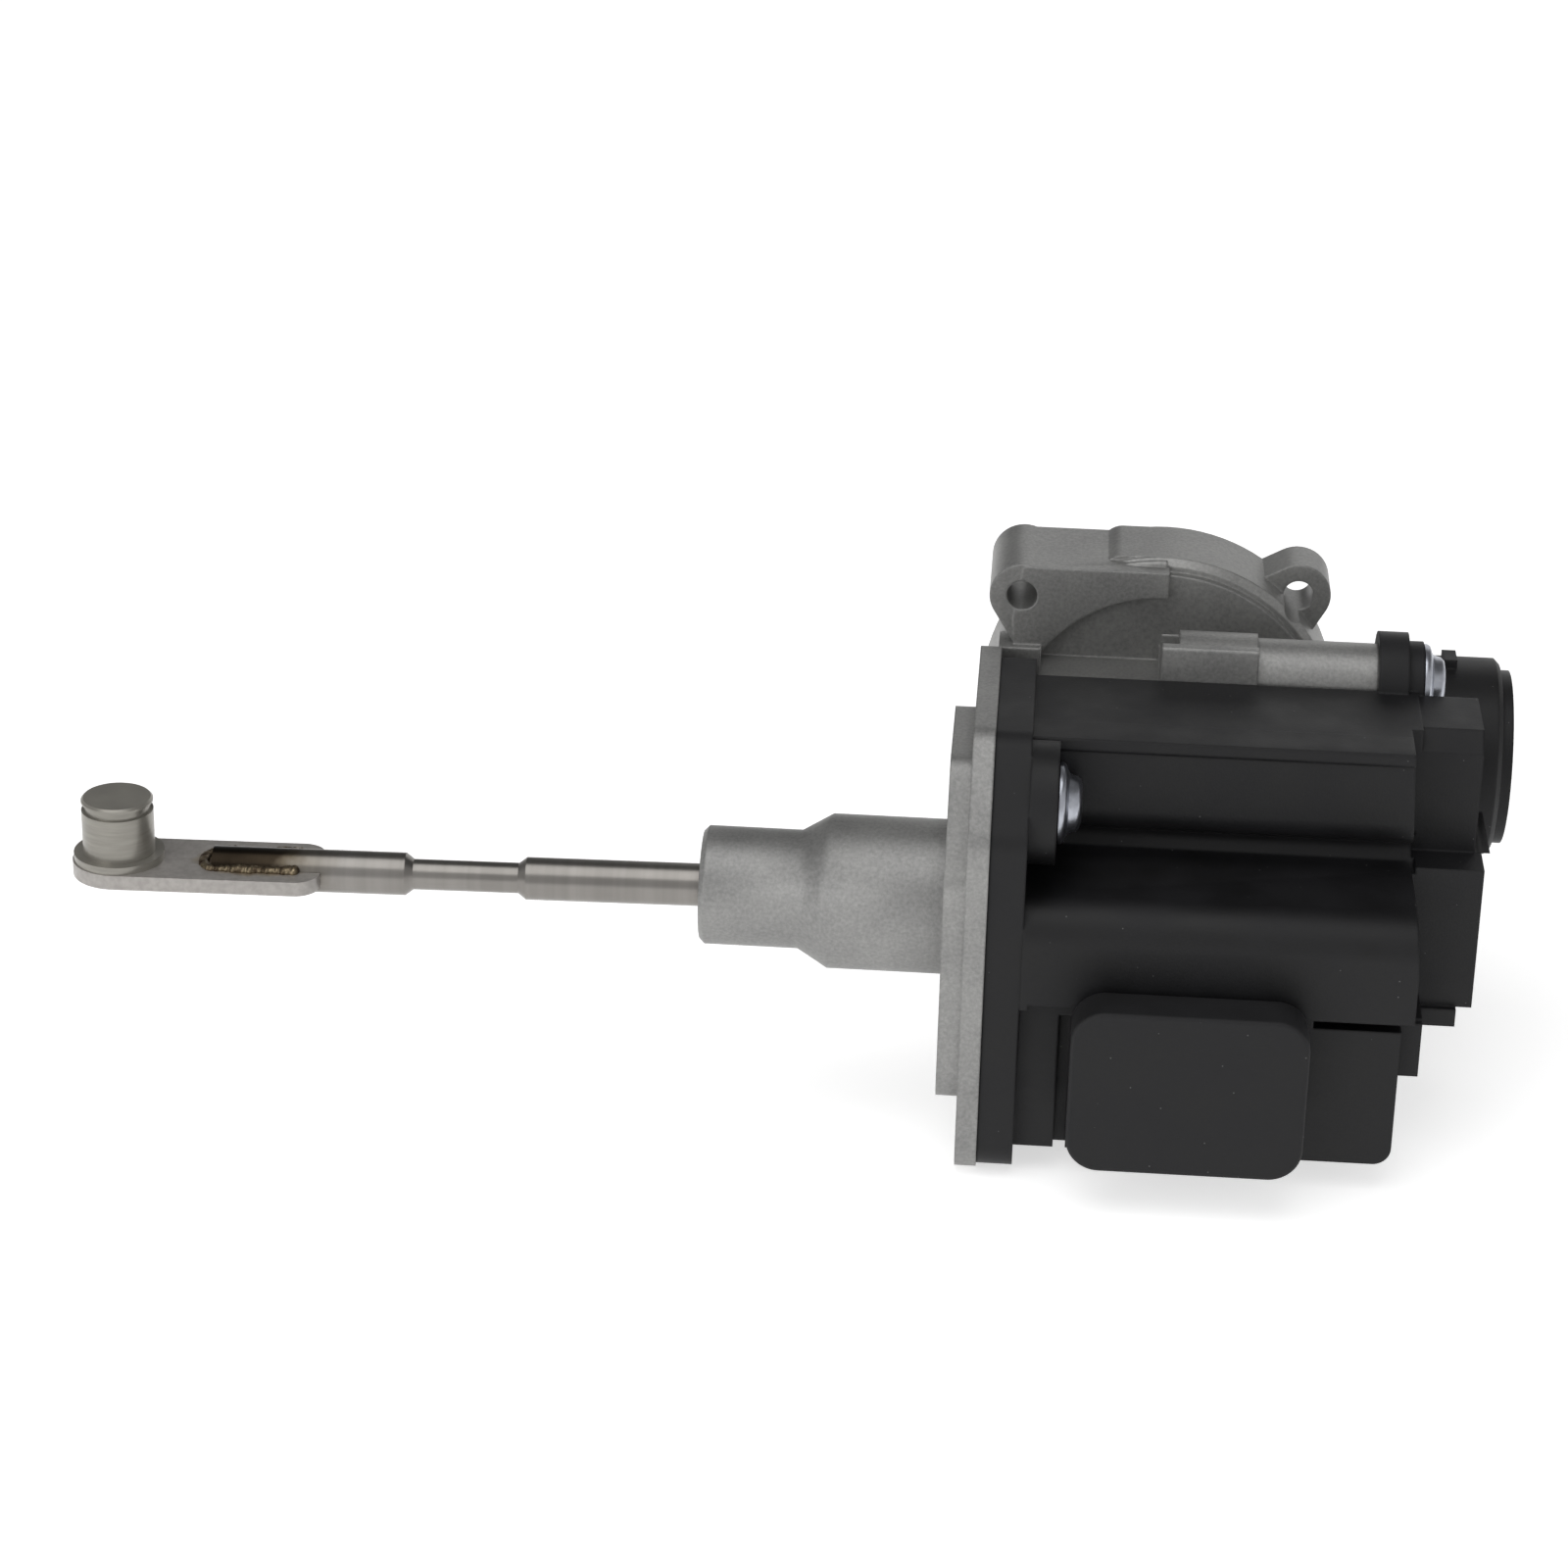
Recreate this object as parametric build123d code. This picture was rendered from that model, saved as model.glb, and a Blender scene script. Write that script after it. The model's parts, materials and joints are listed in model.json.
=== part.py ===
"""Electric wastegate actuator: a geared motor that pushes and pulls a rod.

All lengths are millimetres. While it is modelled, the rod axis is the X axis, X is zero at the joint
between the casting and the cover, Y points to the engine side and Z points up. On export everything
is shifted so that the origin is the middle of the two upper mounting holes on the mounting face.
"""
from build123d import *
import os
from math import acos, cos, hypot, pi, radians, sin, sqrt, tan

# Clearances
running_gap = 0.05
press_gap = 0.01
loose_gap = 0.3
moulding_gap = 0.4

# Gear train
tooth_module = 1.0
pressure_angle = 25.0
addendum = 0.9
dedendum = 1.2
backlash = 0.14
pinion_teeth = 10
idler_large_teeth = 31
idler_small_teeth = 14
output_teeth = 26
gear_width = 3.3
layer_gap = 0.2
idler_angle = 0.0
motor_angle = 25.3
gear_room = 0.7
idler_axle_r = 1.5
axle_seat = 1.5
gear_hub_wall = 1.6

# Casting
platform_t = 3.0
rim_t = 3.0
flange_front_y = -18.0
flange_bottom_z = -34.5
flange_top_z = 28.6
flange_corner_r = 5.0
platform_front_y = -17.0
platform_bottom_z = -23.8
platform_top_z = 23.8
platform_rear_y = 30.0
platform_corner_r = 4.0
snout_thin_r = 8.3
snout_thick_r = 10.8
snout_mouth_x = -40.0
snout_cone_x = -26.3
snout_cone_length = 4.2
snout_bore_r = 6.0
rear_joint_y = 23.4
motor_seat_x = 5.4
motor_tube_wall = 2.5
tube_end_x = 61.8
pot_x = 23.0
pot_z = 10.3
pot_front_y = 28.5
pot_body_r = 24.2
pot_rim_r = 26.0
pot_rim_y = 40.0
pot_nose_chamfer = 3.0
mount_wall = 3.0
ear_r = 4.7
ear_hole_r = 2.2
left_ear = (2.4, 31.0)
left_ear_front_y = 37.0
right_ear = (42.5, 29.5)
right_ear_front_y = 46.0
lower_ear = (23.0, -19.0)
lower_ear_front_y = 44.0
ear_root_r = 7.0
crest_front_y = 36.8
crest_w = 2.2
ridge_r = 1.0
relief_w = 15.0
relief_h = 5.0
relief_depth = 12.0
relief_radius = 20.6
relief_corner_r = 1.8

# Cover screws, the post that takes the long one, and their sleeves
screw_shank_r = 2.5
screw_hole_gap = 0.25
screw_head_r = 5.6
screw_washer_t = 1.2
screw_crown_r = 4.2
screw_crown_t = 2.1
screw_recess_r = 1.9
screw_recess_depth = 1.9
recess_lobe_r = 0.55
screw_bite = 4.0
sleeve_wall = 1.3
flange_screws = [(-6.5, 18.0), (15.0, -27.0)]
front_boss_r = 8.5
lower_boss_r = 5.9
boss_x = 8.8
post_y = 25.6
post_z = 25.0
post_r = 5.3
post_pad_x = 36.0
post_pad_start_x = 25.0
post_pad_r = 5.9
lug_x = 52.9
lug_disc_t = 4.2
lug_disc_r = 7.1
lug_boss_t = 2.2
lug_boss_r = 5.9

# Cover moulding
cover_flange_t = 5.0
cover_inset = 0.5
cover_floor_x = 3.4
cover_end_x = 58.4
cover_rear_y = 20.0
hood_top_z = 26.0
hood_front_y = -3.0
hood_lip_t = 2.2
bulge_r = 8.0
bulge_y = 9.0
bulge_z = 18.0
valley_y = 3.6
valley_z = 8.2
lower_front_y = -18.0
lower_top_z = 7.0
lower_bottom_z = -7.2
lower_round_r = 5.5
base_front_y = -15.0
base_rear_y = 8.5
base_bottom_z = -30.4
base_end_x = 57.0
base_round_r = 2.5
base_strip_x = 60.0
base_strip_y = -12.0
base_strip_z = (-18.0, -9.5)
gap_groove_x = (10.5, 12.2)
gap_groove_depth = 2.0
side_groove_x = 45.0
side_groove_z = (-9.9, -8.8)
side_groove_depth = 0.8
cover_tab = 1.2
hood_cavity_wall = 2.4
hood_cavity_end_x = 54.0
tower_x = 69.0
tower_y = (6.0, 20.0)
tower_z = (8.0, 25.4)
tower_chamfer = 2.6
step_x = 67.8
step_y = (0.0, 18.0)
step_bottom_z = -13.0
foot_x = (60.6, 65.6)
foot_y = (-1.0, 7.0)
foot_bottom_z = -15.6
edge_round = 0.7

# Connector and its dust cap
shroud_x = (14.0, 42.2)
shroud_z = (-25.8, -5.6)
shroud_front_y = -24.5
shroud_wall = 1.8
shroud_floor_y = -8.5
shroud_corner_r = 3.0
terminal_count = 6
terminal_w = 1.5
terminal_t = 0.64
terminal_pitch = 3.6
terminal_tip_y = -18.0
terminal_row_z = -15.6
terminal_rear_y = -4.0
cap_wall = 1.6
cap_face_t = 1.5
cap_skirt = 5.0
cap_corner_r = 4.6
cap_edge_round = 0.5

# Sensor and carrier
channel_half = 6.0
channel_end_x = 54.0
slot_half = 3.0
board_t = 1.6
board_x = (6.0, 44.0)
board_y = (-12.0, 8.0)
board_top_z = -8.0
board_gap = 0.1
hall_size = (4.0, 3.2, 1.2)
hall_x = 26.0
carrier_x = (20.0, 34.0)
magnet_length = 9.0
magnet_w = 5.0
magnet_t = 2.4

# Motor
motor_can_r = 12.0
motor_can_wall = 1.0
motor_can_x = 5.6
motor_can_end_x = 58.0
can_front_t = 1.2
motor_shaft_r = 1.6
bush_wall = 1.9
bush_length = 4.0
magnet_ring_gap = 0.1
motor_magnet_t = 2.1
motor_magnet_x = (13.5, 47.5)
motor_magnet_arc = 132.0
air_gap = 0.55
core_x = (16.0, 44.0)
pole_count = 5
slot_hole_r = 1.8
slot_mouth = 1.2
slot_circle_r = 5.2
coil_gap = 0.2
coil_end_t = 4.0
coil_end_r = (2.8, 7.6)
commutator_x = (50.0, 55.0)
commutator_r = 3.6
commutator_slit = 0.4
brush_size = 3.0
brush_length = 3.6
brush_card_t = 2.2
holder_wall = 0.8
end_cap_r = 14.3
end_cap_x = 71.8
end_step_r = 12.6
end_step_t = 1.6
end_spigot_t = 3.4
end_tab_w = 4.0
end_seal_r = 0.6
shaft_end_x = 64.2

# Nut, bearing and spindle
nut_r = 5.5
nut_front_x = -11.0
spindle_r = 3.0
spindle_tail_r = 2.5
spindle_tail_x = 19.0
bearing_x = (-10.5, -5.5)
bearing_ring_wall = 1.2
ball_r = 1.1
ball_count = 8
race_gap = 0.04
circlip_t = 0.9
circlip_depth = 0.7
circlip_ring = 1.5
circlip_opening = 5.0
bush_x = (-17.0, -12.2)
guide_bush_wall = 1.6
seal_x = (-19.6, -17.2)
seal_lip = 0.8

# Ball joint, push rod and link
ball_x = -31.5
rod_ball_r = 4.2
socket_r = 5.2
socket_length = (4.5, 4.6)
socket_ring_r = 4.6
socket_ring_t = 2.6
socket_mouth_r = 3.6
rest_swing = 1.9
rod_r = 3.0
rod_neck_r = 2.15
rod_chamfer = 1.1
neck_start = 33.1
neck_end = 50.0
rod_end = 77.0
pin_distance = 90.3
plate_r = 6.5
plate_t = 2.1
plate_length = 28.6
plate_corner_r = 3.4
slot_gap = 0.05
pin_r = 5.0
pin_top_z = 10.3
pin_base_r = 6.3
pin_base_t = 1.1
pin_groove_r = 4.55
pin_groove_z = (8.5, 9.7)
pin_tail_r = 3.6
pin_chamfer = 0.3
weld_leg = 1.5
weld_rise = 0.9

# Values that follow from the ones above
pitch_pinion = tooth_module * pinion_teeth / 2
pitch_idler_large = tooth_module * idler_large_teeth / 2
pitch_idler_small = tooth_module * idler_small_teeth / 2
pitch_output = tooth_module * output_teeth / 2
idler_y = (pitch_output + pitch_idler_small) * cos(radians(idler_angle))
idler_z = (pitch_output + pitch_idler_small) * sin(radians(idler_angle))
motor_y = idler_y + (pitch_pinion + pitch_idler_large) * cos(radians(motor_angle))
motor_z = idler_z + (pitch_pinion + pitch_idler_large) * sin(radians(motor_angle))
tip = addendum * tooth_module
layer_rear_x = cover_floor_x - loose_gap
layer_mid_x = layer_rear_x - gear_width
layer_low_x = layer_mid_x - layer_gap
layer_front_x = layer_low_x - gear_width
chamber_floor_x = layer_front_x - loose_gap
platform_x = -(platform_t + rim_t)
tube_bore_r = motor_can_r + loose_gap
tube_r = tube_bore_r + motor_tube_wall
mount_y = motor_y + tube_bore_r + mount_wall
sleeve_r = screw_shank_r + screw_hole_gap + sleeve_wall
bearing_seat_r = nut_r + 2 * bearing_ring_wall + 2 * (ball_r - 0.45)
ball_circle_r = (nut_r + bearing_seat_r) / 2
origin = Vector((left_ear[0] + right_ear[0]) / 2, mount_y, (left_ear[1] + right_ear[1]) / 2)


# Solids along one axis

def along_x(sketch, x0, x1):
    """A sketch drawn in (y, z), pushed from x0 to x1."""
    return extrude(Plane.YZ.offset(x0) * sketch, x1 - x0)


def along_y(sketch, y0, y1):
    """A sketch drawn in (x, z), pushed from y0 to y1."""
    return extrude(Plane(origin=(0, y0, 0), x_dir=(1, 0, 0), z_dir=(0, -1, 0)) * sketch, y0 - y1)


def along_z(sketch, z0, z1):
    """A sketch drawn in (x, y), pushed from z0 to z1."""
    return extrude(Plane.XY.offset(z0) * sketch, z1 - z0)


def bar_x(r, x0, x1, y=0.0, z=0.0):
    return along_x(Pos(y, z) * Circle(r), x0, x1)


def ring_x(r_out, r_in, x0, x1, y=0.0, z=0.0):
    return along_x(Pos(y, z) * (Circle(r_out) - Circle(r_in)), x0, x1)


def bar_y(r, y0, y1, x, z):
    return along_y(Pos(x, z) * Circle(r), y0, y1)


def block(x, y, z):
    """A box from its three (low, high) pairs."""
    size = [high - low for low, high in (x, y, z)]
    centre = [(high + low) / 2 for low, high in (x, y, z)]
    return Pos(*centre) * Box(*size)


def turned_x(*points):
    """A solid of revolution about the rod axis from (x, radius) points."""
    return revolve(make_face(Polyline(*points, close=True)), Axis.X)


def hull_of(*circles):
    """The rubber-band outline round circles given as (radius, first, second)."""
    edges = []
    for r, u, v in circles:
        edges += (Pos(u, v) * Circle(r)).edges()
    return make_hull(edges)


def span(pair):
    """The outline between two low and high pairs."""
    (u0, u1), (v0, v1) = pair
    return Pos((u0 + u1) / 2, (v0 + v1) / 2) * Rectangle(u1 - u0, v1 - v0)


# Gears

def involute(angle):
    return tan(angle) - angle


def gear_outline(teeth, spin):
    """An involute gear of the common module, with a tooth at the angle spin (degrees)."""
    pitch_r = tooth_module * teeth / 2
    base_r = pitch_r * cos(radians(pressure_angle))
    tip_r = pitch_r + addendum * tooth_module
    root_r = pitch_r - dedendum * tooth_module
    start_r = max(base_r, root_r)
    half_pitch = pi / (2 * teeth) - backlash / (2 * pitch_r)

    def flank_angle(r):
        return half_pitch + involute(radians(pressure_angle)) - involute(acos(min(1.0, base_r / r)))

    def at(r, angle):
        return (r * cos(angle), r * sin(angle))

    edges = []
    for tooth in range(teeth):
        centre = radians(spin) + 2 * pi * tooth / teeth
        following = centre + 2 * pi / teeth
        mid_r = (start_r + tip_r) / 2
        a_start, a_mid, a_tip = (flank_angle(r) for r in (start_r, mid_r, tip_r))
        if start_r > root_r:
            edges.append(Line(at(root_r, centre - a_start), at(start_r, centre - a_start)))
        edges.append(ThreePointArc(at(start_r, centre - a_start), at(mid_r, centre - a_mid),
                                   at(tip_r, centre - a_tip)))
        edges.append(ThreePointArc(at(tip_r, centre - a_tip), at(tip_r, centre), at(tip_r, centre + a_tip)))
        edges.append(ThreePointArc(at(tip_r, centre + a_tip), at(mid_r, centre + a_mid),
                                   at(start_r, centre + a_start)))
        if start_r > root_r:
            edges.append(Line(at(start_r, centre + a_start), at(root_r, centre + a_start)))
        edges.append(ThreePointArc(at(root_r, centre + a_start), at(root_r, (centre + following) / 2),
                                   at(root_r, following - a_start)))
    return make_face(edges)


def mesh_spin(angle, teeth):
    """The spin that puts a gap, not a tooth, at the angle from which the mate comes."""
    return angle + 180 + 180 / teeth


# Outlines in (y, z) that several pieces share

def flange_outline():
    points = [(flange_front_y, flange_bottom_z), (flange_front_y, flange_top_z - 12),
              (flange_front_y + 10, flange_top_z), (rear_joint_y, flange_top_z),
              (motor_y + 8, motor_z + 5), (motor_y + 11, motor_z), (motor_y + 11, motor_z - 13),
              (idler_y + 4, flange_bottom_z)]
    shape = make_face(Polyline(*points, close=True))
    return fillet(shape.vertices(), flange_corner_r)


def cover_outline():
    front = flange_outline() & span(((2 * flange_front_y, rear_joint_y - moulding_gap), (-99, 99)))
    return offset(front, -cover_inset, kind=Kind.INTERSECTION)


def chamber_outline(extra=0.0):
    return hull_of((pitch_output + tip + gear_room + extra, 0, 0),
                   (pitch_idler_large + tip + gear_room + extra, idler_y, idler_z),
                   (pitch_pinion + tip + gear_room + extra, motor_y, motor_z))


# Casting

def make_snout():
    thick_x = snout_cone_x + snout_cone_length
    return turned_x((snout_mouth_x, 0), (snout_mouth_x, snout_thin_r - edge_round),
                    (snout_mouth_x + edge_round, snout_thin_r), (snout_cone_x, snout_thin_r),
                    (thick_x, snout_thick_r), (platform_x, snout_thick_r), (platform_x, 0))


def make_pot():
    """The round mounting body with its rim, nose and three ears."""
    nose = bar_y(pot_body_r, pot_front_y, pot_rim_y, pot_x, pot_z)
    nose = chamfer(nose.edges().sort_by(Axis.Y)[0], pot_nose_chamfer)
    rim = bar_y(pot_rim_r, pot_rim_y, mount_y, pot_x, pot_z)
    rim = chamfer(rim.edges().sort_by(Axis.Y)[0], ridge_r)
    pot = nose + rim
    ears = ((left_ear, left_ear_front_y), (right_ear, right_ear_front_y), (lower_ear, lower_ear_front_y))
    for (x, z), front_y in ears:
        reach = hypot(x - pot_x, z - pot_z)
        inner = pot_rim_r - ear_root_r
        root = (pot_x + (x - pot_x) * inner / reach, pot_z + (z - pot_z) * inner / reach)
        pot += along_y(hull_of((ear_r, x, z), (ear_root_r, *root)), front_y, mount_y)
    crest = hull_of((ear_r, *left_ear), (crest_w, pot_x, pot_z + pot_body_r - crest_w))
    pot += along_y(crest, crest_front_y, mount_y)
    return pot


def make_reliefs():
    """Four blind pockets that lighten the mounting face, above and below the motor tube."""
    pocket = fillet(Rectangle(relief_w, relief_h).vertices(), relief_corner_r)
    cuts = []
    for side in (-1, 1):
        for level in (-1, 1):
            x = pot_x + side * (relief_w / 2 + edge_round)
            z = pot_z + level * (relief_radius - relief_h / 2)
            cuts.append(along_y(Pos(x, z) * pocket, mount_y - relief_depth, mount_y))
    return cuts


def make_housing():
    flange = along_x(flange_outline(), -rim_t, 0)
    platform_points = [(platform_front_y, platform_bottom_z), (platform_front_y, platform_top_z - 14),
                       (platform_front_y + 10, platform_top_z), (idler_y - 8, platform_top_z),
                       (platform_rear_y, platform_top_z - 8), (platform_rear_y, platform_bottom_z + 10),
                       (idler_y + 1, platform_bottom_z)]
    platform = make_face(Polyline(*platform_points, close=True))
    platform = fillet(platform.vertices(), platform_corner_r)
    body = flange + along_x(platform, platform_x, -rim_t) + make_snout()
    rear = flange_outline() & span(((rear_joint_y, 2 * mount_y), (-99, 99)))
    body += along_x(rear, 0, motor_seat_x)
    body += bar_x(tube_r, -rim_t / 5, tube_end_x, motor_y, motor_z)
    body += make_pot()
    body += bar_x(post_r, post_pad_x, lug_x, post_y, post_z)
    pad = hull_of((post_pad_r, post_y, post_z), (post_pad_r, motor_y, motor_z))
    body += along_x(pad, post_pad_start_x, post_pad_x)
    web = hull_of((post_r, post_y, post_z), (post_r, motor_y, motor_z))
    body += along_x(web, post_pad_x, lug_x)
    body -= bar_x(tube_bore_r, motor_seat_x, tube_end_x, motor_y, motor_z)
    body -= bar_x(pitch_pinion + tip + loose_gap, layer_rear_x, motor_seat_x, motor_y, motor_z)
    body -= along_x(chamber_outline(), layer_mid_x - loose_gap, cover_floor_x)
    low_pocket = hull_of((pitch_output + tip + gear_room, 0, 0),
                         (pitch_idler_small + tip + gear_room, idler_y, idler_z))
    body -= along_x(low_pocket, chamber_floor_x, 0)
    body -= bar_x(idler_axle_r + press_gap, chamber_floor_x - axle_seat, chamber_floor_x, idler_y, idler_z)
    body -= bar_x(snout_bore_r, snout_mouth_x, seal_x[1], 0, 0)
    body -= bar_x(spindle_r + guide_bush_wall, seal_x[1], bush_x[1], 0, 0)
    body -= bar_x(nut_r + loose_gap, bush_x[1], chamber_floor_x, 0, 0)
    body -= bar_x(bearing_seat_r + press_gap, bearing_x[0], chamber_floor_x, 0, 0)
    groove_r = bearing_seat_r + circlip_depth
    body -= bar_x(groove_r, bearing_x[1], bearing_x[1] + circlip_t + running_gap, 0, 0)
    for y, z in flange_screws:
        body -= bar_x(screw_shank_r + press_gap, -(rim_t + platform_t), 0, y, z)
    body -= bar_x(screw_shank_r + press_gap, lug_x - 2 * screw_bite, lug_x, post_y, post_z)
    for x, z in (left_ear, right_ear, lower_ear):
        body -= bar_y(ear_hole_r, pot_front_y, mount_y, x, z)
    for cut in make_reliefs():
        body -= cut
    return body


# Cover

def body_section():
    """The cover's long section in (y, z): hood, bulge, valley and lower block."""
    hood = span(((hood_front_y, cover_rear_y), (hood_top_z - hood_lip_t, hood_top_z)))
    bulge = Pos(bulge_y, bulge_z) * Circle(bulge_r)
    back = span(((bulge_y, cover_rear_y), (0, hood_top_z)))
    valley = span(((valley_y, cover_rear_y), (0, valley_z + 2)))
    lower = span(((lower_front_y, cover_rear_y), (lower_bottom_z, lower_top_z)))
    front = lower.vertices().group_by(Axis.X)[0].sort_by(Axis.Y)
    lower = fillet(front[1], lower_round_r)
    return hood + bulge + back + valley + lower


def make_cover(terminals):
    section = body_section()
    cover = along_x(cover_outline(), 0, cover_flange_t)
    cover += along_x(section, cover_flange_t, cover_end_x)
    base = block((cover_flange_t, base_end_x), (base_front_y, base_rear_y), (base_bottom_z, 0))
    base = fillet(base.edges().filter_by(Axis.Y).sort_by(Axis.Z)[:2].sort_by(Axis.X)[-1], base_round_r)
    cover += base
    cover += block((cover_flange_t, base_strip_x), (base_strip_y, base_rear_y), base_strip_z)
    tower = block((cover_end_x, tower_x), tower_y, tower_z)
    tower = chamfer(tower.edges().filter_by(Axis.X).group_by(Axis.Z)[-1].sort_by(Axis.Y)[0], tower_chamfer)
    cover += tower
    cover += block((cover_end_x, step_x), step_y, (step_bottom_z, tower_z[0]))
    cover += block(foot_x, foot_y, (foot_bottom_z, step_bottom_z))
    cover += bar_x(front_boss_r, cover_flange_t, boss_x, *flange_screws[0])
    cover += bar_x(lower_boss_r, cover_flange_t, boss_x, *flange_screws[1])
    cover += block((cover_flange_t, cover_flange_t + cover_tab), (lower_front_y, lower_front_y + 4), (-8, 0))
    lug = bar_x(lug_disc_r, lug_x, lug_x + lug_disc_t, post_y, post_z)
    lug += bar_x(lug_boss_r, lug_x + lug_disc_t, lug_x + lug_disc_t + lug_boss_t, post_y, post_z)
    lug += block((lug_x, lug_x + lug_disc_t), (bulge_y, post_y), (bulge_z, hood_top_z))
    lug -= bar_x(tube_r + moulding_gap, 0, tube_end_x + tube_r, motor_y, motor_z)
    cover += lug
    shroud = fillet(span((shroud_x, shroud_z)).vertices(), shroud_corner_r)
    cover += along_y(shroud, shroud_front_y, base_front_y + 1)
    cover -= along_x(chamber_outline(), 0, cover_floor_x)
    inner = span(((hood_cavity_wall + bulge_y - bulge_r, cover_rear_y - hood_cavity_wall),
                  (valley_z + hood_cavity_wall, hood_top_z - hood_cavity_wall)))
    cover -= along_x(inner, 0, hood_cavity_end_x)
    channel = span(((-channel_half, channel_half), (-channel_half, channel_half)))
    cover -= along_x(channel, 0, channel_end_x)
    board_low = board_top_z - board_t - board_gap
    cover -= along_x(span(((-slot_half, slot_half), (board_low, 0))), 0, board_x[1] + board_gap)
    board_slot = span(((board_y[0] - board_gap, board_y[1] + board_gap), (board_low, board_top_z + board_gap)))
    cover -= along_x(board_slot, 0, board_x[1] + board_gap)
    mouth = span(((shroud_x[0] + shroud_wall, shroud_x[1] - shroud_wall),
                  (shroud_z[0] + shroud_wall, shroud_z[1] - shroud_wall)))
    mouth = fillet(mouth.vertices(), shroud_corner_r - shroud_wall)
    cover -= along_y(mouth, shroud_front_y, shroud_floor_y)
    cover -= block(gap_groove_x, (base_front_y, base_front_y + gap_groove_depth), (base_bottom_z, side_groove_z[0]))
    cover -= block((side_groove_x, base_strip_x + 1), (base_strip_y - 4, base_strip_y + side_groove_depth),
                   side_groove_z)
    cover -= bar_x(idler_axle_r + press_gap, cover_floor_x, cover_floor_x + axle_seat, idler_y, idler_z)
    for y, z in flange_screws:
        cover -= bar_x(sleeve_r + press_gap, 0, boss_x, y, z)
        cover -= bar_x(screw_head_r + moulding_gap, boss_x, cover_end_x + tube_r, y, z)
    cover -= bar_x(sleeve_r + press_gap, lug_x, lug_x + lug_disc_t + lug_boss_t, post_y, post_z)
    cover -= bar_x(post_pad_r + moulding_gap, 0, lug_x, post_y, post_z)
    cover -= bar_x(tube_r + moulding_gap, cover_flange_t, tube_end_x, motor_y, motor_z)
    cover -= terminals
    return cover


def make_terminals():
    """Blades that stand in the connector and turn up to the sensor board."""
    blades = []
    middle = (shroud_x[0] + shroud_x[1]) / 2
    top_z = board_top_z - board_t
    for number in range(terminal_count):
        x = middle + (number - (terminal_count - 1) / 2) * terminal_pitch
        wide = (x - terminal_w / 2, x + terminal_w / 2)
        blade = block(wide, (terminal_tip_y, terminal_rear_y), (terminal_row_z, terminal_row_z + terminal_t))
        blade += block(wide, (terminal_rear_y - terminal_t, terminal_rear_y), (terminal_row_z, top_z))
        blades.append(blade)
    return Compound(blades)


def make_dust_cap():
    x0, x1 = shroud_x[0] - loose_gap, shroud_x[1] + loose_gap
    z0, z1 = shroud_z[0] - loose_gap, shroud_z[1] + loose_gap
    outer = fillet(span(((x0 - cap_wall, x1 + cap_wall), (z0 - cap_wall, z1 + cap_wall))).vertices(), cap_corner_r)
    inner = fillet(span(((x0, x1), (z0, z1))).vertices(), cap_corner_r - cap_wall)
    face_y = shroud_front_y - loose_gap
    cap = along_y(outer, face_y - cap_face_t, face_y + cap_skirt)
    cap = fillet(cap.faces().sort_by(Axis.Y)[0].edges(), cap_edge_round)
    return cap - along_y(inner, face_y, face_y + cap_skirt)


# Screws and sleeves

def make_screw(seat_x, tip_x, y, z):
    screw = bar_x(screw_shank_r, tip_x, seat_x, y, z)
    screw += bar_x(screw_head_r, seat_x, seat_x + screw_washer_t, y, z)
    crown_x = seat_x + screw_washer_t
    crown = bar_x(screw_crown_r, crown_x, crown_x + screw_crown_t, y, z)
    screw += chamfer(crown.edges().sort_by(Axis.X)[-1], edge_round)
    star = Circle(screw_recess_r)
    for lobe in range(6):
        star += Rot(0, 0, 60 * lobe) * Pos(screw_recess_r, 0) * Circle(recess_lobe_r)
    return screw - along_x(Pos(y, z) * star, crown_x + screw_crown_t - screw_recess_depth,
                           crown_x + screw_crown_t)


def make_sleeve(x0, x1, y, z):
    return ring_x(sleeve_r, sleeve_r - sleeve_wall, x0, x1, y, z)


# Motor

def at_motor(shape):
    return Pos(0, motor_y, motor_z) * shape


def make_motor_can():
    boss_r = motor_shaft_r + bush_wall + motor_can_wall
    can = bar_x(motor_can_r, motor_can_x, motor_can_end_x)
    can -= bar_x(motor_can_r - motor_can_wall, motor_can_x + can_front_t, motor_can_end_x)
    can += bar_x(boss_r, motor_can_x, motor_can_x + bush_length)
    can -= bar_x(motor_shaft_r + bush_wall + press_gap, motor_can_x, motor_can_x + bush_length)
    return at_motor(can)


def make_bush(x0):
    return at_motor(ring_x(motor_shaft_r + bush_wall, motor_shaft_r + running_gap, x0, x0 + bush_length))


def make_motor_magnet(facing):
    outer = motor_can_r - motor_can_wall - magnet_ring_gap
    ring = ring_x(outer, outer - motor_magnet_t, *motor_magnet_x)
    half = radians(motor_magnet_arc / 2)
    far = 2 * motor_can_r
    wedge = make_face(Polyline((0, 0), (far * cos(half), far * sin(half)), (far, far), (far, -far),
                               (far * cos(half), -far * sin(half)), close=True))
    return at_motor(ring & along_x(Rot(0, 0, facing) * wedge, *motor_magnet_x))


def core_r():
    return motor_can_r - motor_can_wall - magnet_ring_gap - motor_magnet_t - air_gap


def slot_marks(r, mouth):
    """The slots between the poles: a round hole with a narrow mouth to the rim."""
    marks = []
    for pole in range(pole_count):
        mark = Pos(slot_circle_r, 0) * Circle(r)
        if mouth:
            mark += span(((slot_circle_r, core_r() + 1), (-mouth / 2, mouth / 2)))
        marks.append(Rot(0, 0, 360 * pole / pole_count) * mark)
    return marks


def make_core():
    section = Circle(core_r()) - Circle(motor_shaft_r + press_gap)
    for mark in slot_marks(slot_hole_r, slot_mouth):
        section -= mark
    return at_motor(along_x(section, *core_x))


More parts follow.
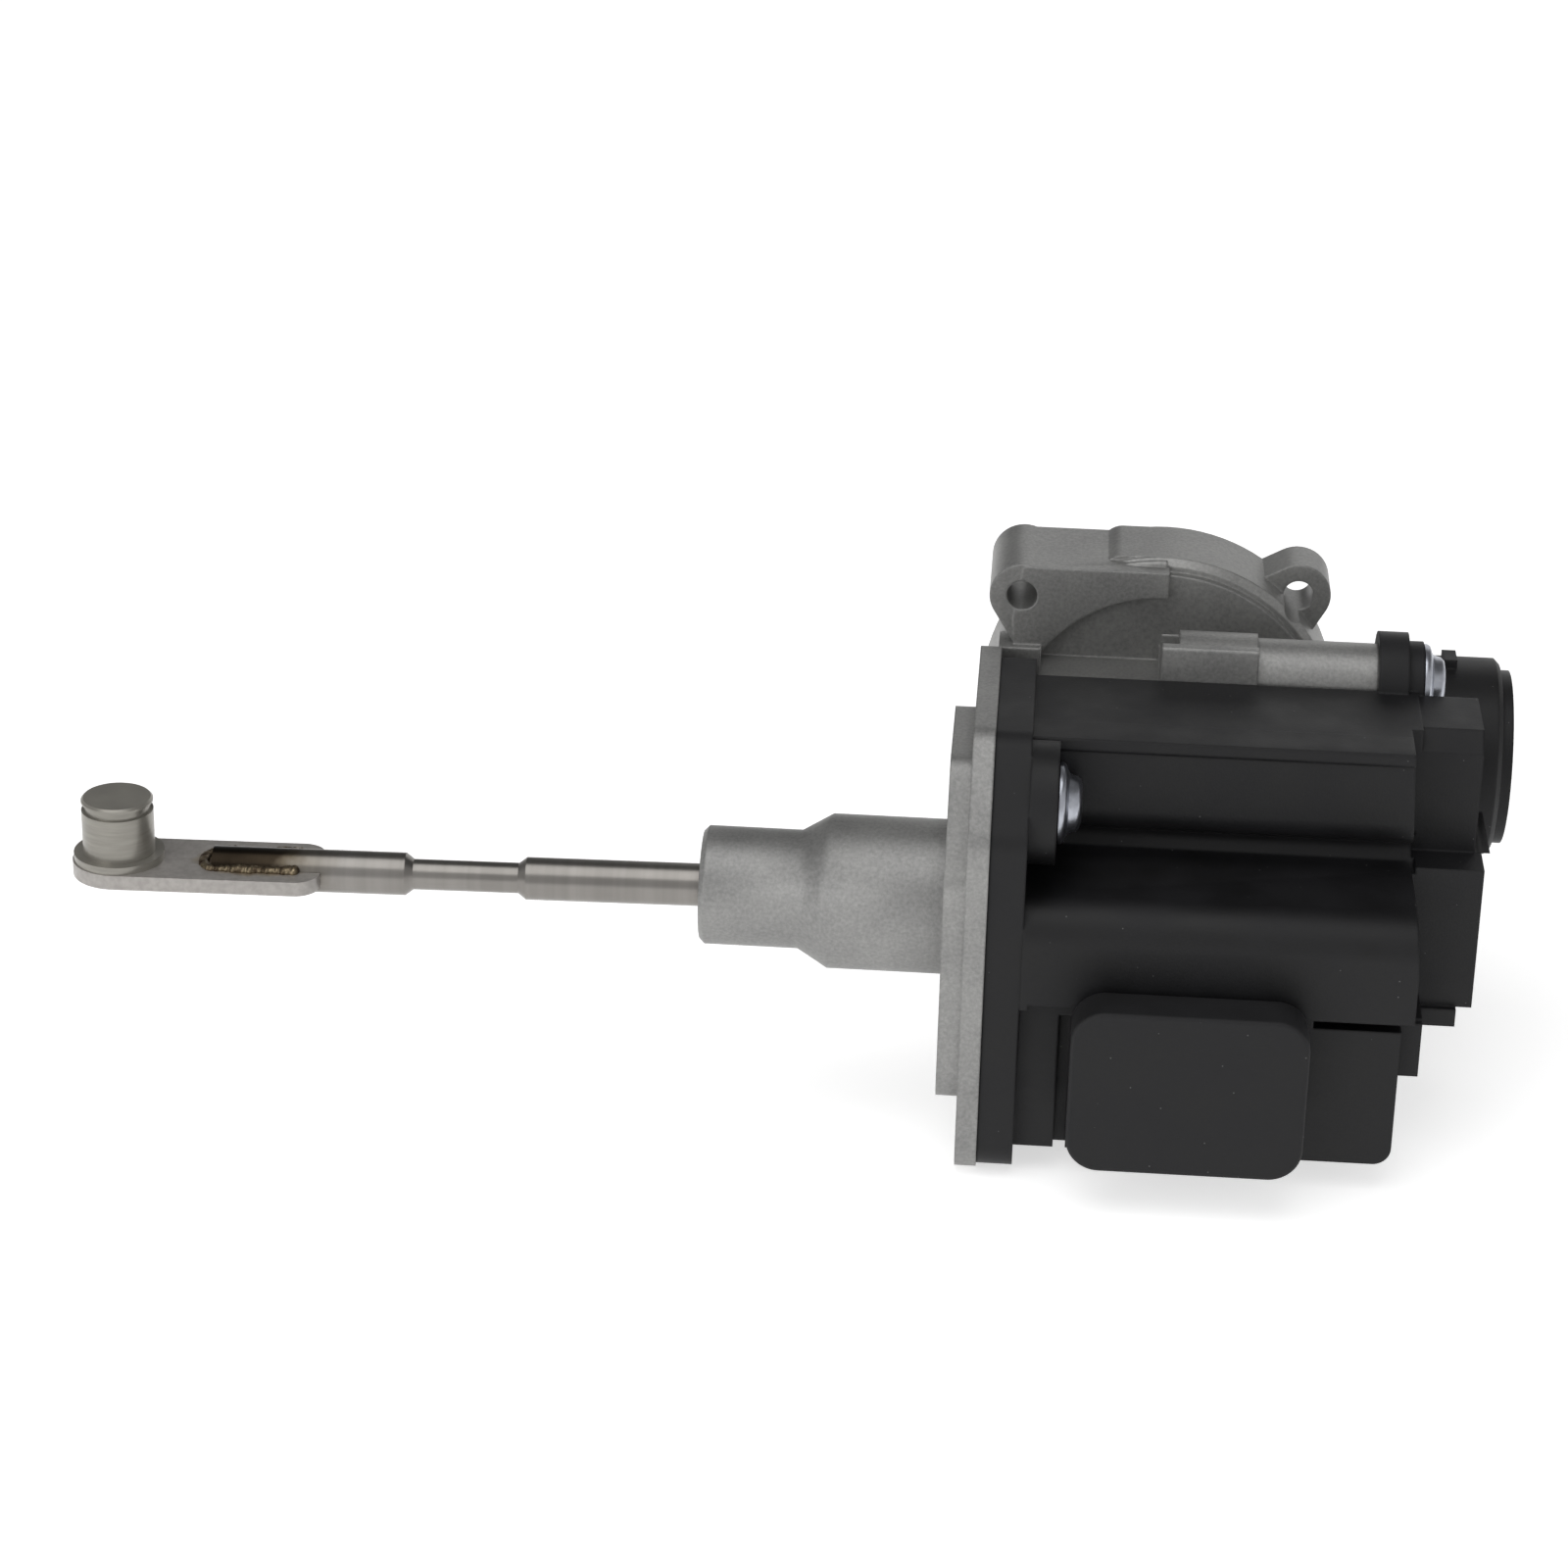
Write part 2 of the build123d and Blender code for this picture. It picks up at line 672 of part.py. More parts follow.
def make_windings():
    coils = ring_x(coil_end_r[1], coil_end_r[0], core_x[0] - coil_end_t, core_x[0])
    coils = fillet(coils.edges().sort_by(Axis.X)[:2], edge_round)
    far = ring_x(coil_end_r[1], coil_end_r[0], core_x[1], core_x[1] + coil_end_t)
    coils += fillet(far.edges().sort_by(Axis.X)[-2:], edge_round)
    for mark in slot_marks(slot_hole_r - coil_gap, 0):
        coils += along_x(mark, *core_x)
    return at_motor(coils)


def make_commutator():
    drum = ring_x(commutator_r, motor_shaft_r + press_gap, *commutator_x)
    for bar in range(pole_count):
        slit = span(((commutator_r - 3 * commutator_slit, commutator_r + 1),
                     (-commutator_slit / 2, commutator_slit / 2)))
        drum -= along_x(Rot(0, 0, 360 * (bar + 0.5) / pole_count) * slit, *commutator_x)
    return at_motor(drum)


def brush_span():
    middle = (commutator_x[0] + commutator_x[1]) / 2
    return (middle - brush_size / 2, middle + brush_size / 2)


def make_brush(side):
    start = commutator_r + running_gap
    near, far = sorted((side * start, side * (start + brush_length)))
    return at_motor(block(brush_span(), (-brush_size / 2, brush_size / 2), (near, far)))


def make_brush_card():
    card_x = motor_can_end_x - brush_card_t
    card = bar_x(motor_can_r - motor_can_wall - loose_gap, card_x, motor_can_end_x)
    card -= bar_x(motor_shaft_r + loose_gap, card_x, motor_can_end_x)
    low, high = brush_span()
    half = brush_size / 2
    for side in (-1, 1):
        near, far = sorted((side * (commutator_r + holder_wall), side * (commutator_r + brush_length)))
        holder = block((low - holder_wall, card_x), (-half - holder_wall, half + holder_wall), (near, far))
        hole = block((low - running_gap, high + running_gap), (-half - running_gap, half + running_gap),
                     (near - 1, far + 1))
        card += holder - hole
    return at_motor(card)


def make_end_cap():
    cap = bar_x(end_cap_r, tube_end_x, end_cap_x)
    cap = chamfer(cap.edges().sort_by(Axis.X)[-1], edge_round)
    cap += bar_x(end_step_r, end_cap_x, end_cap_x + end_step_t)
    spigot_x = tube_end_x - end_spigot_t
    cap += bar_x(motor_can_r, spigot_x, tube_end_x)
    cap += block((tube_end_x + 1.5, tube_end_x + 3.5), (-end_tab_w / 2, end_tab_w / 2),
                 (end_cap_r - 1, end_cap_r + 1.2))
    cap -= bar_x(motor_shaft_r + bush_wall + press_gap, spigot_x, spigot_x + bush_length)
    cap -= bar_x(motor_shaft_r + loose_gap, spigot_x, shaft_end_x + loose_gap)
    groove_x = (spigot_x + tube_end_x) / 2
    seal_centre = motor_can_r - end_seal_r + running_gap
    cap -= ring_x(motor_can_r + 1, seal_centre - end_seal_r, groove_x - 2 * end_seal_r, groove_x + 2 * end_seal_r)
    return at_motor(cap)


def make_end_seal():
    groove_x = tube_end_x - end_spigot_t / 2
    centre_r = motor_can_r - end_seal_r + running_gap
    ring = Pos(groove_x, 0, 0) * Rot(0, 90, 0) * Torus(centre_r, end_seal_r)
    return at_motor(ring)


# Gears in place

def make_pinion():
    outline = gear_outline(pinion_teeth, mesh_spin(motor_angle, pinion_teeth)) - Circle(motor_shaft_r + press_gap)
    return at_motor(along_x(outline, layer_mid_x, layer_rear_x))


def make_idler():
    hole = Circle(idler_axle_r + running_gap)
    large = gear_outline(idler_large_teeth, motor_angle) - hole
    small = gear_outline(idler_small_teeth, mesh_spin(idler_angle, idler_small_teeth)) - hole
    gear = along_x(large, layer_mid_x, layer_rear_x) + along_x(small, layer_front_x, layer_mid_x)
    dish = Circle(pitch_idler_large - 3 * tooth_module) - Circle(idler_axle_r + 2 * gear_hub_wall)
    gear -= along_x(dish, layer_rear_x - 1, layer_rear_x)
    return Pos(0, idler_y, idler_z) * gear


def make_output_gear():
    outline = gear_outline(output_teeth, idler_angle) - Circle(nut_r + press_gap)
    gear = along_x(outline, layer_front_x, layer_low_x)
    dish = Circle(pitch_output - 2.5 * tooth_module) - Circle(nut_r + gear_hub_wall)
    return gear - along_x(dish, layer_low_x - 1, layer_low_x)


# Nut, bearing and spindle

def race_groove():
    middle = (bearing_x[0] + bearing_x[1]) / 2
    return Pos(middle, 0, 0) * Rot(0, 90, 0) * Torus(ball_circle_r, ball_r + race_gap)


def make_balls():
    middle = (bearing_x[0] + bearing_x[1]) / 2
    balls = []
    for number in range(ball_count):
        angle = 2 * pi * number / ball_count
        place = Pos(middle, ball_circle_r * cos(angle), ball_circle_r * sin(angle))
        balls.append(place * Sphere(ball_r))
    return Compound(balls)


def make_circlip():
    outer = bearing_seat_r + circlip_depth - running_gap
    ring = ring_x(outer, outer - circlip_ring, bearing_x[1] + running_gap, bearing_x[1] + circlip_t)
    return ring - block((bearing_x[1] - 1, 0), (-circlip_opening / 2, circlip_opening / 2), (0, 2 * outer))


def make_seal():
    body = ring_x(snout_bore_r - press_gap, spindle_r + seal_lip, *seal_x)
    lip_x = (seal_x[0], seal_x[0] + seal_lip)
    return body + ring_x(spindle_r + 2 * seal_lip, spindle_r + running_gap, *lip_x)


def make_spindle():
    tail_x = carrier_x[1] + 1
    front_x, rear_x = ball_x - socket_length[0], ball_x + socket_length[1]
    spindle = turned_x((front_x, 0), (front_x, socket_r), (rear_x - 1, socket_r), (rear_x, socket_r - 1),
                       (rear_x, spindle_r), (spindle_tail_x, spindle_r), (spindle_tail_x, spindle_tail_r),
                       (tail_x - edge_round, spindle_tail_r), (tail_x, spindle_tail_r - edge_round), (tail_x, 0))
    spindle -= Pos(ball_x, 0, 0) * Sphere(rod_ball_r + running_gap)
    spindle -= bar_x(rod_ball_r + running_gap, front_x, ball_x)
    return spindle - bar_x(socket_ring_r, front_x, front_x + socket_ring_t)


def make_socket_ring():
    front_x = ball_x - socket_length[0]
    ring = ring_x(socket_ring_r - press_gap, socket_mouth_r, front_x, front_x + socket_ring_t)
    return ring - Pos(ball_x, 0, 0) * Sphere(rod_ball_r + running_gap)


def magnet_box(extra=0.0):
    middle = (carrier_x[0] + carrier_x[1]) / 2
    low = -channel_half + 2 * loose_gap
    return block((middle - magnet_length / 2 - extra, middle + magnet_length / 2 + extra),
                 (-magnet_w / 2 - extra, magnet_w / 2 + extra), (low - extra, low + magnet_t))


def make_carrier():
    half = channel_half - loose_gap
    carrier = block(carrier_x, (-half, half), (-half, half))
    carrier = chamfer(carrier.edges().filter_by(Axis.X), edge_round)
    carrier -= bar_x(spindle_tail_r + press_gap, *carrier_x)
    return carrier - magnet_box(press_gap)


def make_board():
    return block(board_x, board_y, (board_top_z - board_t, board_top_z))


def make_hall_sensor():
    length, width, height = hall_size
    return block((hall_x - length / 2, hall_x + length / 2), (-width / 2, width / 2),
                 (board_top_z, board_top_z + height))


# Push rod and link, drawn straight and then swung about the ball

def swung(shape):
    return Pos(ball_x, 0, 0) * Rot(0, 0, rest_swing) * Pos(-ball_x, 0, 0) * shape


def straight_rod():
    x = ball_x
    rod = turned_x((x, 0), (x, rod_r), (x - neck_start, rod_r), (x - neck_start - rod_chamfer, rod_neck_r),
                   (x - neck_end + rod_chamfer, rod_neck_r), (x - neck_end, rod_r), (x - rod_end, rod_r),
                   (x - rod_end, 0))
    return rod + Pos(x, 0, 0) * Sphere(rod_ball_r)


def straight_plate():
    pin_x = ball_x - pin_distance
    end_x = pin_x + plate_length
    tail = span(((pin_x, end_x), (-plate_r, plate_r)))
    tail = fillet(tail.vertices().group_by(Axis.X)[-1], plate_corner_r)
    outline = Pos(pin_x, 0) * Circle(plate_r) + tail
    slot_x = ball_x - rod_end - slot_gap
    outline -= span(((slot_x, end_x + 1), (-rod_r - slot_gap, rod_r + slot_gap)))
    outline -= Pos(pin_x, 0) * Circle(pin_tail_r + press_gap)
    return along_z(outline, -plate_t / 2, plate_t / 2)


def straight_pin():
    pin_x = ball_x - pin_distance
    top = plate_t / 2
    points = [(0, -top), (pin_tail_r, -top), (pin_tail_r, top), (pin_base_r, top), (pin_base_r, top + pin_base_t),
              (pin_r, top + pin_base_t), (pin_r, pin_groove_z[0]), (pin_groove_r, pin_groove_z[0]),
              (pin_groove_r, pin_groove_z[1]), (pin_r, pin_groove_z[1]), (pin_r, pin_top_z - pin_chamfer),
              (pin_r - pin_chamfer, pin_top_z), (0, pin_top_z)]
    profile = make_face(Plane.XZ * Polyline(*points, close=True))
    return Pos(pin_x, 0, 0) * revolve(profile, Axis.Z)


def straight_welds():
    """A run of weld along each side of the rod, above and below the plate."""
    x0, x1 = ball_x - rod_end, ball_x - pin_distance + plate_length - plate_corner_r
    inner = sqrt(rod_r ** 2 - (plate_t / 2) ** 2) / 2
    welds = []
    for side in (-1, 1):
        for face in (-1, 1):
            root = face * plate_t / 2
            points = [(side * inner, root), (side * (rod_r + weld_leg), root),
                      (side * rod_r, root + face * weld_rise), (side * inner, root + face * weld_rise)]
            welds.append(along_x(make_face(Polyline(*points, close=True)), x0, x1))
    return [weld - straight_rod() for weld in welds]


# The whole actuator

def make_parts():
    terminals = make_terminals()
    tip_x = platform_x + 0.5
    lug_end_x = lug_x + lug_disc_t + lug_boss_t
    parts = {
        "housing": make_housing(),
        "cover": make_cover(terminals),
        "connector_terminals": terminals,
        "dust_cap": make_dust_cap(),
        "lug_screw": make_screw(lug_end_x, lug_x - screw_bite, post_y, post_z),
        "lug_sleeve": make_sleeve(lug_x, lug_end_x, post_y, post_z),
        "motor_can": make_motor_can(),
        "motor_front_bush": make_bush(motor_can_x),
        "motor_rear_bush": make_bush(tube_end_x - end_spigot_t),
        "motor_shaft": at_motor(bar_x(motor_shaft_r, layer_mid_x, shaft_end_x)),
        "armature_core": make_core(),
        "armature_windings": make_windings(),
        "commutator": make_commutator(),
        "brush_card": make_brush_card(),
        "motor_end_cap": make_end_cap(),
        "end_cap_seal": make_end_seal(),
        "motor_pinion": make_pinion(),
        "idler_gear": make_idler(),
        "idler_axle": bar_x(idler_axle_r, chamber_floor_x - axle_seat, cover_floor_x + axle_seat, idler_y, idler_z),
        "output_gear": make_output_gear(),
        "spindle_nut": ring_x(nut_r, spindle_r + running_gap, nut_front_x, layer_low_x),
        "bearing_inner_ring": ring_x(nut_r + bearing_ring_wall, nut_r + press_gap, *bearing_x) - race_groove(),
        "bearing_outer_ring": ring_x(bearing_seat_r, bearing_seat_r - bearing_ring_wall, *bearing_x) - race_groove(),
        "bearing_balls": make_balls(),
        "bearing_circlip": make_circlip(),
        "guide_bush": ring_x(spindle_r + guide_bush_wall - press_gap, spindle_r + running_gap, *bush_x),
        "rod_seal": make_seal(),
        "spindle": make_spindle(),
        "socket_ring": make_socket_ring(),
        "magnet_carrier": make_carrier(),
        "position_magnet": magnet_box(),
        "sensor_board": make_board(),
        "hall_sensor": make_hall_sensor(),
        "push_rod": swung(straight_rod()),
        "link_plate": swung(straight_plate()),
        "link_pin": swung(straight_pin()),
        "weld_beads": swung(Compound(straight_welds())),
    }
    for number, (y, z) in enumerate(flange_screws, 1):
        parts[f"cover_screw_{number}"] = make_screw(boss_x, tip_x, y, z)
        parts[f"cover_sleeve_{number}"] = make_sleeve(0, boss_x, y, z)
    for number, side in enumerate((-1, 1), 1):
        parts[f"motor_brush_{number}"] = make_brush(side)
        parts[f"motor_magnet_{number}"] = make_motor_magnet(90 * side)
    return parts


os.makedirs("parts", exist_ok=True)
for name, shape in make_parts().items():
    export_step(Pos(-origin) * shape, f"parts/{name}.step")
print("origin on the rod axis frame", origin)
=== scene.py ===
# %% [markdown]
# An electric wastegate actuator, dressed for its portrait. The construction comes packed and finished: a cast
# housing, a black cover, a push rod with a link plate and a pin, and everything inside. This lesson adds
# what the eye needs: the camera of the photograph, a rippled weld, a cover and a casting with the forms that
# their moulds gave them, turned screw heads, a finish for every surface, and soft studio light.

# %% Load the frame
import json
import math

import bpy
from mathutils import Matrix, Vector


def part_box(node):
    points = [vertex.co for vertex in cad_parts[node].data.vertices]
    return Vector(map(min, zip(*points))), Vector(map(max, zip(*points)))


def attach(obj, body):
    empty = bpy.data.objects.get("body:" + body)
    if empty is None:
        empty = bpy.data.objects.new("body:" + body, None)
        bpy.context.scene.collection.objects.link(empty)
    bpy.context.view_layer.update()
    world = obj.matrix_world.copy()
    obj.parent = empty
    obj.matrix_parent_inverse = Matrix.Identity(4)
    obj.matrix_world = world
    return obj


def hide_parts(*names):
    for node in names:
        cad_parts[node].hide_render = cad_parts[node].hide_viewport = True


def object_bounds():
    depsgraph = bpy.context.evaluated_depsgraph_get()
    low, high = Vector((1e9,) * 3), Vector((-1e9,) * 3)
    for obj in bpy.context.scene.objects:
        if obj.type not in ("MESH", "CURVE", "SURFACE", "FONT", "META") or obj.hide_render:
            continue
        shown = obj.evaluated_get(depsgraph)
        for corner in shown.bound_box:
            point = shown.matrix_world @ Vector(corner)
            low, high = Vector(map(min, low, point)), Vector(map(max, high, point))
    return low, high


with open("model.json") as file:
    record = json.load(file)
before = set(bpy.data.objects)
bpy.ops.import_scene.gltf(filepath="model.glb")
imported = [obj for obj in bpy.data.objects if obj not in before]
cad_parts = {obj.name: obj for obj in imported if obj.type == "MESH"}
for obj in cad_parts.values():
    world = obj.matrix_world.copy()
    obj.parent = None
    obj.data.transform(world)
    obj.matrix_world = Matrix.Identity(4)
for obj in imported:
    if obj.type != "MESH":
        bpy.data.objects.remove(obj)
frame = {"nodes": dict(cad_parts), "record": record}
cad_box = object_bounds()
nodes = frame["nodes"]
MM = 0.001
print("nodes loaded:", len(nodes))

# %% [markdown]
# The camera stands where the photographer stood: a little to the right of square, about 24 degrees above the
# rod, with the picture turned by just over a degree. It is written as an aim point, two angles, a roll and a
# distance, which is easier to correct than a matrix. The lens is known by its length in pixels of the
# picture, from which the length in millimetres follows for a sensor of any width.

# %% Camera
IMAGE_PIXELS = 1600
FOCAL_PIXELS = 4280
SENSOR = 36.0
AIM = Vector((-0.05264, -0.03453, -0.02298))
AZIMUTH = math.radians(3.7)
ELEVATION = math.radians(24.0)
ROLL = math.radians(1.35)
DISTANCE = 0.600
NEAREST_SEEN = 0.01

back = Vector((math.sin(AZIMUTH) * math.cos(ELEVATION), -math.cos(AZIMUTH) * math.cos(ELEVATION),
               math.sin(ELEVATION)))
level = (-back).cross(Vector((0, 0, 1))).normalized()
upright = level.cross(-back)
right = level * math.cos(ROLL) + upright * math.sin(ROLL)
top = upright * math.cos(ROLL) - level * math.sin(ROLL)
turn = Matrix((right, top, back)).transposed()
camera_data = bpy.data.cameras.new("camera")
camera_data.sensor_width = SENSOR
camera_data.lens = FOCAL_PIXELS / IMAGE_PIXELS * SENSOR
camera_data.clip_start = NEAREST_SEEN
camera = bpy.data.objects.new("camera", camera_data)
bpy.context.scene.collection.objects.link(camera)
camera.matrix_world = Matrix.Translation(AIM + back * DISTANCE) @ turn.to_4x4()
bpy.context.scene.camera = camera
bpy.context.scene.view_settings.view_transform = "Standard"
print("camera at", tuple(round(v, 4) for v in camera.location), "lens", round(camera_data.lens, 1))

# %% [markdown]
# The rod is welded into the slot of the link plate by hand. Such a weld is a row of drops that froze one
# after the other, so it looks like a stack of coins pushed over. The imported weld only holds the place. Its
# four straight runs are measured first: their two ends, and the direction of the rod between them.

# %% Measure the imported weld
END_BAND = 1.2 * MM
run_points = [vertex.co.copy() for vertex in nodes["weld_beads"].data.vertices]
low_x = min(point.x for point in run_points)
high_x = max(point.x for point in run_points)


def middle(points):
    """The mean place of some points."""
    return sum(points, Vector()) / len(points)


weld_start = middle([point for point in run_points if point.x < low_x + END_BAND])
weld_end = middle([point for point in run_points if point.x > high_x - END_BAND])
run_length = (weld_end - weld_start).length
rod_way = (weld_end - weld_start).normalized()
rod_side = Vector((0, 0, 1)).cross(rod_way)
plate_low, plate_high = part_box("link_plate")
plate_top = Vector(plate_high).z
plate_bottom = Vector(plate_low).z
print("weld length in mm:", round(run_length / MM, 2))

# %% [markdown]
# One frozen drop is modelled once: a sphere, flattened from above and pressed thin along the rod, so that
# its neighbours overlap it. The drops of the whole weld are copies of it.

# %% One weld drop
DROP = Vector((0.62, 0.95, 0.72)) * MM
bpy.ops.object.select_all(action="DESELECT")
bpy.ops.mesh.primitive_uv_sphere_add(segments=20, ring_count=12, radius=1.0)
drop = bpy.context.object
bpy.ops.object.mode_set(mode="EDIT")
bpy.ops.mesh.select_all(action="SELECT")
bpy.ops.transform.resize(value=tuple(DROP))
bpy.ops.object.mode_set(mode="OBJECT")
print("drop faces:", len(drop.data.polygons))

# %% [markdown]
# The drops run along both sides of the rod, above and below the plate. Steps, sideways shifts and sizes
# follow a quick and a slow wave, because no hand is a machine. A wave is used and not a random number, so
# that every run gives the same weld. The drops also grow towards the end where the plate was hottest.

# %% Drops along the rod
ROD_RADIUS = 3.0 * MM
STEP = 0.78 * MM
LIFT = 0.12 * MM
QUICK_WAVE = 2.1
SLOW_WAVE = 0.63
SMALLEST = 0.78
GROWTH = 0.30
rod_turn = math.atan2(rod_way.y, rod_way.x)
rod_z = (plate_top + plate_bottom) / 2
half_plate = (plate_top - plate_bottom) / 2
places = []
for side in (-1, 1):
    for face in (-1, 1):
        for number in range(int(run_length / STEP) + 1):
            wave = math.sin(QUICK_WAVE * number + 1.3 * side + 0.7 * face)
            slow = math.sin(SLOW_WAVE * number + side - face)
            along = (number + 0.12 * wave) * STEP
            grow = SMALLEST + 0.16 * slow + GROWTH * along / run_length
            out = side * (ROD_RADIUS + (0.10 + 0.12 * wave) * MM)
            point = weld_start + rod_way * along + rod_side * out
            height = rod_z + face * (half_plate + LIFT)
            places.append((Vector((point.x, point.y, height)), rod_turn, grow))
print("drops along the rod:", len(places))

# %% [markdown]
# At its end the rod is welded all round. A crescent of drops on each face closes the weld there, every drop
# turned to follow the curve.

# %% Drops round the end of the rod
CRESCENT = 13
SPREAD = 160
FLATTER = 0.62
CRESCENT_LIFT = 0.05 * MM
CRESCENT_GROW = 0.82
for face in (-1, 1):
    for number in range(CRESCENT):
        angle = math.radians(-SPREAD / 2 + SPREAD * number / (CRESCENT - 1))
        reach = ROD_RADIUS + 0.05 * MM * math.sin(1.9 * number)
        along = 0.5 * MM - FLATTER * reach * math.cos(angle)
        point = weld_start + rod_way * along + rod_side * reach * math.sin(angle)
        height = rod_z + face * (half_plate + CRESCENT_LIFT)
        drop_turn = rod_turn - angle + math.pi / 2
        places.append((Vector((point.x, point.y, height)), drop_turn, CRESCENT_GROW))
print("drops in all:", len(places))

# %% [markdown]
# Every copy leans back over the drop before it. Joined, the copies still are loose balls. A fine remesh melts
# them into one closed skin, and a light smoothing rounds the seams between them, as surface tension does.

# %% Melt the drops into one weld
DROP_LEAN = math.radians(24)
SKIN_GRAIN = 0.14 * MM
lean = Matrix.Rotation(DROP_LEAN, 4, "Y")
drops = []
for place, angle, grow in places:
    copy = drop.copy()
    copy.data = drop.data.copy()
    bpy.context.scene.collection.objects.link(copy)
    copy.matrix_world = (Matrix.Translation(place) @ Matrix.Rotation(angle, 4, "Z") @ lean
                         @ Matrix.Scale(grow, 4))
    drops.append(copy)
bpy.ops.object.select_all(action="DESELECT")
drop.select_set(True)
bpy.ops.object.delete()
for copy in drops:
    copy.select_set(True)
bpy.context.view_layer.objects.active = drops[0]
bpy.ops.object.join()
weld = bpy.context.object
weld.name = "weld_rippled"
bpy.ops.object.transform_apply(location=True, rotation=True, scale=True)
skin = weld.modifiers.new("skin", "REMESH")
skin.mode = "VOXEL"
skin.voxel_size = SKIN_GRAIN
skin.use_smooth_shade = True
bpy.ops.object.modifier_apply(modifier="skin")
soften = weld.modifiers.new("soften", "SMOOTH")
soften.iterations = 2
soften.factor = 0.5
bpy.ops.object.modifier_apply(modifier="soften")
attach(weld, "rod_set")
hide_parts("weld_beads")
print("weld faces:", len(weld.data.polygons))

# %% [markdown]
# The next pieces are shaped like a maker would draw them: an outline on paper, its corners rounded, pulled
# out to a solid. The drawing counts in millimetres from a zero point on the middle line of the rod, because
# that is how the object was measured. Two helpers turn its numbers into places in the frame.

# %% Places in millimetres
ROD_ZERO = Vector((22.45, 53.8337, 30.25)) * MM
AXES = {"x": Vector((1, 0, 0)), "y": Vector((0, 1, 0))}


def at(x, y, z):
    """A place in the frame from millimetres off the zero point."""
    return Vector((x, y, z)) * MM - ROD_ZERO


def on_plane(along, level, pair):
    """A corner given by its two numbers on the plane across the x or the y axis."""
    if along == "x":
        return at(level, *pair)
    return at(pair[0], level, pair[1])


print("zero point at", tuple(round(v, 4) for v in at(0, 0, 0)))

# %% [markdown]
# The outline is walked by extruding one vertex from corner to corner, because then every number is the real
# place of a corner. A corner with a third number is rounded by that many millimetres. Corners are picked by
# their place, since a script has no mouse, and the picking passes through object mode, where it can be set.

# %% Walk an outline and pull it out
SAME_PLACE = 0.002 * MM
CORNER_REACH = 0.01 * MM
PICK_MODES = {"vertices": "VERT", "edges": "EDGE"}


def pick(piece, kind, test):
    """In edit mode, select just the vertices or edges whose points pass a test."""
    bpy.ops.mesh.select_mode(type=PICK_MODES[kind])
    bpy.ops.mesh.select_all(action="DESELECT")
    bpy.ops.object.mode_set(mode="OBJECT")
    mesh = piece.data
    for item in getattr(mesh, kind):
        if kind == "vertices":
            item.select = test([item.co])
        else:
            item.select = test([mesh.vertices[number].co for number in item.vertices])
    bpy.ops.object.mode_set(mode="EDIT")


def walked(name, points):
    """A new piece, left open in edit mode: one line of edges from point to point."""
    bpy.ops.object.select_all(action="DESELECT")
    bpy.ops.mesh.primitive_plane_add(size=MM, location=points[0])
    piece = bpy.context.object
    piece.name = name
    bpy.ops.object.transform_apply(location=True)
    bpy.ops.object.mode_set(mode="EDIT")
    bpy.ops.mesh.select_mode(type="VERT")
    bpy.ops.mesh.select_all(action="SELECT")
    bpy.ops.mesh.merge(type="CENTER")
    for here, there in zip(points, points[1:]):
        bpy.ops.mesh.extrude_vertices_move(TRANSFORM_OT_translate={"value": tuple(there - here)})
    bpy.ops.mesh.select_all(action="SELECT")
    return piece


def close_up():
    """Point all faces of the piece in edit mode outwards, and leave edit mode."""
    bpy.ops.mesh.select_all(action="SELECT")
    bpy.ops.mesh.normals_make_consistent(inside=False)
    bpy.ops.object.mode_set(mode="OBJECT")


def drawn(name, along, span, corners):
    """Walk an outline of (a, b, rounding) corners, round them, and pull the face out along an axis."""
    start, end = span
    points = [on_plane(along, start, corner[:2]) for corner in corners]
    piece = walked(name, points + points[:1])
    bpy.ops.mesh.remove_doubles(threshold=SAME_PLACE)
    bpy.ops.mesh.edge_face_add()
    for point, corner in zip(points, corners):
        if len(corner) == 3:
            pick(piece, "vertices", lambda found: (found[0] - point).length < CORNER_REACH)
            bpy.ops.mesh.bevel(offset=corner[2] * MM, segments=6, affect="VERTICES")
    bpy.ops.mesh.select_all(action="SELECT")
    way = AXES[along] * (end - start) * MM
    bpy.ops.mesh.extrude_region_move(TRANSFORM_OT_translate={"value": tuple(way)})
    close_up()
    print("drew", name, "corners:", len(points), "faces:", len(piece.data.polygons))
    return piece


def slab(name, xs, ys, zs):
    """A plain block between pairs of numbers, as stock to cut with."""
    return drawn(name, "x", xs, [(ys[0], zs[0]), (ys[1], zs[0]), (ys[1], zs[1]), (ys[0], zs[1])])


# %% [markdown]
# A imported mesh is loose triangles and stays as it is, so the work is done on a copy, whose triangles are
# merged first. A drawn solid is joined to it or cut out of it with a Boolean that is applied at once. Last,
# the leftover lines on flat faces are dissolved, or they would show as creases in the shading.

# %% Work on a merged copy
FLAT_WITHIN = math.radians(0.5)
SMOOTH_BELOW = math.radians(32)


def take(piece):
    """Select one piece alone, and make it the active one."""
    bpy.ops.object.select_all(action="DESELECT")
    piece.select_set(True)
    bpy.context.view_layer.objects.active = piece


def stock_from(node_name, name):
    """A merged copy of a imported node, to work on."""
    piece = nodes[node_name].copy()
    piece.data = nodes[node_name].data.copy()
    piece.name = name
    bpy.context.scene.collection.objects.link(piece)
    take(piece)
    bpy.ops.object.mode_set(mode="EDIT")
    bpy.ops.mesh.select_all(action="SELECT")
    bpy.ops.mesh.remove_doubles(threshold=SAME_PLACE)
    bpy.ops.mesh.customdata_custom_splitnormals_clear()
    bpy.ops.object.mode_set(mode="OBJECT")
    return piece


